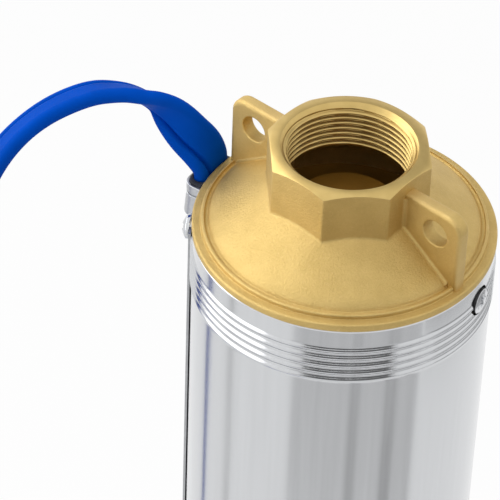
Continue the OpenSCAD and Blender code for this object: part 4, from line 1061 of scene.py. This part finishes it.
class PUMP_OT_fit_saddle(bpy.types.Operator):
    """Builds the saddle and the rubber grommet at the top of the cable guard"""
    bl_idname = "pump.fit_saddle"
    bl_label = "Fit the saddle and grommet"

    def execute(self, context):
        size = context.scene.pump_cable
        turn_out = outward(size.azimuth)
        saddle = add_piece("saddle_pressing", moved(self.saddle(size), turn_out), "polished_stainless", 35,
                           [material_for("pressed_steel")])
        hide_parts("cable_saddle")
        grommet = add_piece("grommet_moulding", moved(self.grommet(size), turn_out), "black_rubber", 35)
        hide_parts("cable_grommet")
        return {"FINISHED"}

    def channel(self, size, grow):
        """Path round the guard's channel, from one foot over its face to the other"""
        half, top, corner = size.channel_half + grow, size.channel_top + grow, size.channel_corner + grow
        straight = top - corner - 0.0005
        path = [(size.channel_foot, -half), (straight, -half)]
        path += arc(top - corner, corner - half, corner, -90, 0, 10)
        path += arc(top - corner, half - corner, corner, 0, 90, 10)
        return path + [(straight, half), (size.channel_foot, half)]

    def saddle(self, size):
        """Flared skirt, pinched neck and band, as one pressing"""
        t, gap, flare = size.sheet, size.saddle_gap, size.saddle_flare
        lip, soft = 0.0006, 0.0002
        top, low = SADDLE_HIGH.z, SADDLE_LOW.z
        pinch = top - size.saddle_band
        skirt = pinch - size.saddle_neck
        inner, outer, throat = gap, gap + t, gap + soft / 2
        profile = [(inner + flare, low), (inner + flare, low + lip), (inner + 0.4 * flare, skirt - 2 * lip),
                   (inner, skirt - 2 * soft), (inner, top), (outer - soft, top), (outer, top - soft),
                   (outer, pinch + soft), (outer - soft, pinch), (throat, pinch), (throat, skirt),
                   (outer - soft, skirt), (outer, skirt - soft), (outer + flare, low + lip + soft / 2),
                   (outer + flare, low + soft), (outer + flare - soft, low)]
        stations = [self.channel(size, grow) for grow, z in profile]
        rings = []
        for k in range(len(stations[0])):
            rings.append([Vector((*stations[i][k], z)) for i, (grow, z) in enumerate(profile)])
        return loft(rings)

    def grommet(self, size):
        """Block with a rounded lip, moulded round the flat lead"""
        middle = lead_radius(size)
        fit = 0.0001
        outline = self.channel(size, fit)
        half, round_r = size.width / 2 + fit, size.thickness / 2 + fit
        lead = [(middle + x, y) for x, y in arc(0, half - round_r, round_r, 0, 180, 12)]
        lead += [(middle + x, y) for x, y in arc(0, round_r - half, round_r, 180, 360, 12)]
        top, low = GROMMET_HIGH.z, GROMMET_LOW.z
        # Share of the way from the outside in to the lead, and height
        stages = [(0, low), (0, top - 0.0009), (0.06, top - 0.0004), (0.2, top - 0.0001), (0.4, top),
                  (0.85, top), (0.95, top - 0.0002), (1, top - 0.0006), (1, low)]
        rings = []
        around = 96
        for share, z in stages:
            ring = []
            for i in range(around):
                a = 2 * math.pi * i / around
                r = self.reach(outline, middle, a) * (1 - share) + self.reach(lead, middle, a) * share
                ring.append(Vector((middle + r * math.cos(a), r * math.sin(a), z)))
            rings.append(ring)
        return loft(rings, closed=True)

    def reach(self, outline, middle, angle):
        """Distance from the lead's middle to an outline, along an angle"""
        dx, dy = math.cos(angle), math.sin(angle)
        parallel, slack = 1e-12, 1e-9
        found = []
        for i, (x0, y0) in enumerate(outline):
            x1, y1 = outline[(i + 1) % len(outline)]
            cross = dx * (y1 - y0) - dy * (x1 - x0)
            if abs(cross) > parallel:
                along = ((x0 - middle) * (y1 - y0) - y0 * (x1 - x0)) / cross
                share = ((x0 - middle) * dy - y0 * dx) / cross
                if along > 0 and -slack <= share <= 1 + slack:
                    found.append(along)
        return max(found)


class PUMP_OT_drive_screws(bpy.types.Operator):
    """Builds the pan-head screws of the guard and the head"""
    bl_idname = "pump.drive_screws"
    bl_label = "Drive the screws"

    # A screw's dome: its rows, its share of the head's radius, and the points round it
    dome_rows = 30
    dome_share = 0.94
    around = 96

    def execute(self, context):
        shell, cable = context.scene.pump_shell, context.scene.pump_cable
        high = RIM_Z - shell.screw_drop
        seat = cable.channel_foot + cable.sheet
        parts = []
        for k, side in enumerate((-1, 1)):
            for low, z in enumerate((shell.screw_low, high)):
                way = outward(cable.azimuth + side * cable.screw_spread)
                place = way @ Matrix.Translation((seat, 0, z))
                twist = 0.4 + k + 0.7 * low
                parts.append(moved(self.screw(shell, twist, shell.guard_edge), place))
        guard = add_piece("guard_pan_screws", joined(parts), "steel_fasteners", 40)
        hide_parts("guard_screws")
        sunk = SHELL_HIGH.x - shell.ridge_height - shell.wall
        place = outward(shell.lock_azimuth) @ Matrix.Translation((sunk, 0, high))
        finishes = [material_for("steel_fasteners"), material_for("shade_painted_steel")]
        lock_twist = 0.2
        head = moved(self.screw(shell, lock_twist, shell.lock_edge), place)
        lock = add_piece("lock_pan_screw", head, "steel_fasteners", 40, finishes)
        # Painted shade: dark steel on the ring of the brow under the dome, for the shadowed gap round the
        # head
        for index in range(self.dome_rows * self.around, (self.dome_rows + 2) * self.around):
            lock.data.polygons[index].material_index = 1
        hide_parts("head_lock_screw")
        return {"FINISHED"}

    def screw(self, size, twist, edge):
        """Head with a cross recess, domed down to a share of its height at the edge, and a shank"""
        head, rise, around = size.screw_head, size.screw_rise, self.around
        turns = [2 * math.pi * j / around for j in range(around)]
        rings = []
        for i in range(1, self.dome_rows + 1):
            share = i / self.dome_rows
            r = self.dome_share * head * share
            dome = rise * (1 - (1 - edge) * share ** 2)
            rings.append([self.on_head(size, r, a, dome, twist) for a in turns])
        soft = 0.0001
        # Rounded brow, side, underside and shank as (radius, height)
        side = [(head * 0.985, rise * (edge - 0.05)), (head, rise * (edge - 0.13)), (head, soft),
                (head - soft, 0.0), (size.screw_shank, 0.0), (size.screw_shank, -size.screw_reach)]
        for r, x in side:
            rings.append([Vector((x, y, z)) for y, z in circle(0, 0, r, around)])
        return loft(rings)

    def on_head(self, size, r, angle, dome, twist):
        """Point on the head's dome, lowered inside the cross"""
        a, b = r * math.cos(angle - twist), r * math.sin(angle - twist)
        narrow, wide = min(abs(a), abs(b)), max(abs(a), abs(b))
        side_slope, end_slope = 0.0003, 0.0006
        inside = smooth((size.cross_arm - narrow) / side_slope + 0.5)
        inside *= smooth((size.cross_reach - wide) / end_slope)
        return Vector((dome - size.cross_depth * inside, r * math.cos(angle), r * math.sin(angle)))


class PUMP_OT_wind_spring(bpy.types.Operator):
    """Winds the check valve's spring"""
    bl_idname = "pump.wind_spring"
    bl_label = "Wind the valve spring"

    def execute(self, context):
        size = context.scene.pump_spring
        low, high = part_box("poppet_spring")
        middle, tall = high.x - size.wire, high.z - low.z
        per_turn = 48
        count = size.turns * per_turn
        run = []
        for i in range(count + 1):
            a = 2 * math.pi * i / per_turn
            z = low.z + size.wire + (tall - 2 * size.wire) * i / count
            run.append((Vector((middle * math.cos(a), middle * math.sin(a), z)), Vector((0, 0, 1))))
        coil = loft(swept(run, circle(0, 0, size.wire, 14)))
        spring = add_piece("valve_spring_coil", coil, "spring_steel", 60, body="valve")
        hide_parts("poppet_spring")
        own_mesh(spring)
        return {"FINISHED"}


class PUMP_OT_dress_nodes(bpy.types.Operator):
    """Gives every other sub-part the finish of its slot"""
    bl_idname = "pump.dress_nodes"
    bl_label = "Dress the sub-parts"

    def execute(self, context):
        for entry in frame["record"]["subparts"]:
            pressed = entry["node"] == "cable_guard"
            look = material_for("pressed_steel" if pressed else entry["material_slot"])
            for holder in frame["nodes"][entry["node"]].material_slots:
                holder.material = look
        return {"FINISHED"}


class PUMP_PT_dresser(bpy.types.Panel):
    """Lists the steps that build the pump's looks"""
    bl_idname = "PUMP_PT_dresser"
    bl_label = "Borehole pump"
    bl_space_type = "VIEW_3D"
    bl_region_type = "UI"
    bl_category = "Pump"

    def draw(self, context):
        for step in STEPS:
            self.layout.operator(step.bl_idname)


GROUPS = {
    "pump_head": PUMP_PG_head,
    "pump_shell": PUMP_PG_shell,
    "pump_cable": PUMP_PG_cable,
    "pump_spring": PUMP_PG_spring,
    "pump_finish": PUMP_PG_finish,
    "pump_studio": PUMP_PG_studio,
}
STEPS = [PUMP_OT_set_stage, PUMP_OT_lay_cable, PUMP_OT_cast_head, PUMP_OT_roll_shells, PUMP_OT_fit_saddle,
         PUMP_OT_drive_screws, PUMP_OT_wind_spring, PUMP_OT_dress_nodes]


def register():
    for kind in [*GROUPS.values(), *STEPS, PUMP_PT_dresser]:
        bpy.utils.register_class(kind)
    for name, group in GROUPS.items():
        setattr(bpy.types.Scene, name, PointerProperty(type=group))


def unregister():
    for name in GROUPS:
        delattr(bpy.types.Scene, name)
    for kind in [PUMP_PT_dresser, *reversed(STEPS), *reversed(GROUPS.values())]:
        bpy.utils.unregister_class(kind)


def main():
    register()
    bpy.ops.pump.set_stage()
    bpy.ops.pump.lay_cable()
    bpy.ops.pump.cast_head()
    bpy.ops.pump.roll_shells()
    bpy.ops.pump.fit_saddle()
    bpy.ops.pump.drive_screws()
    bpy.ops.pump.wind_spring()
    bpy.ops.pump.dress_nodes()


if __name__ == "__main__":
    main()
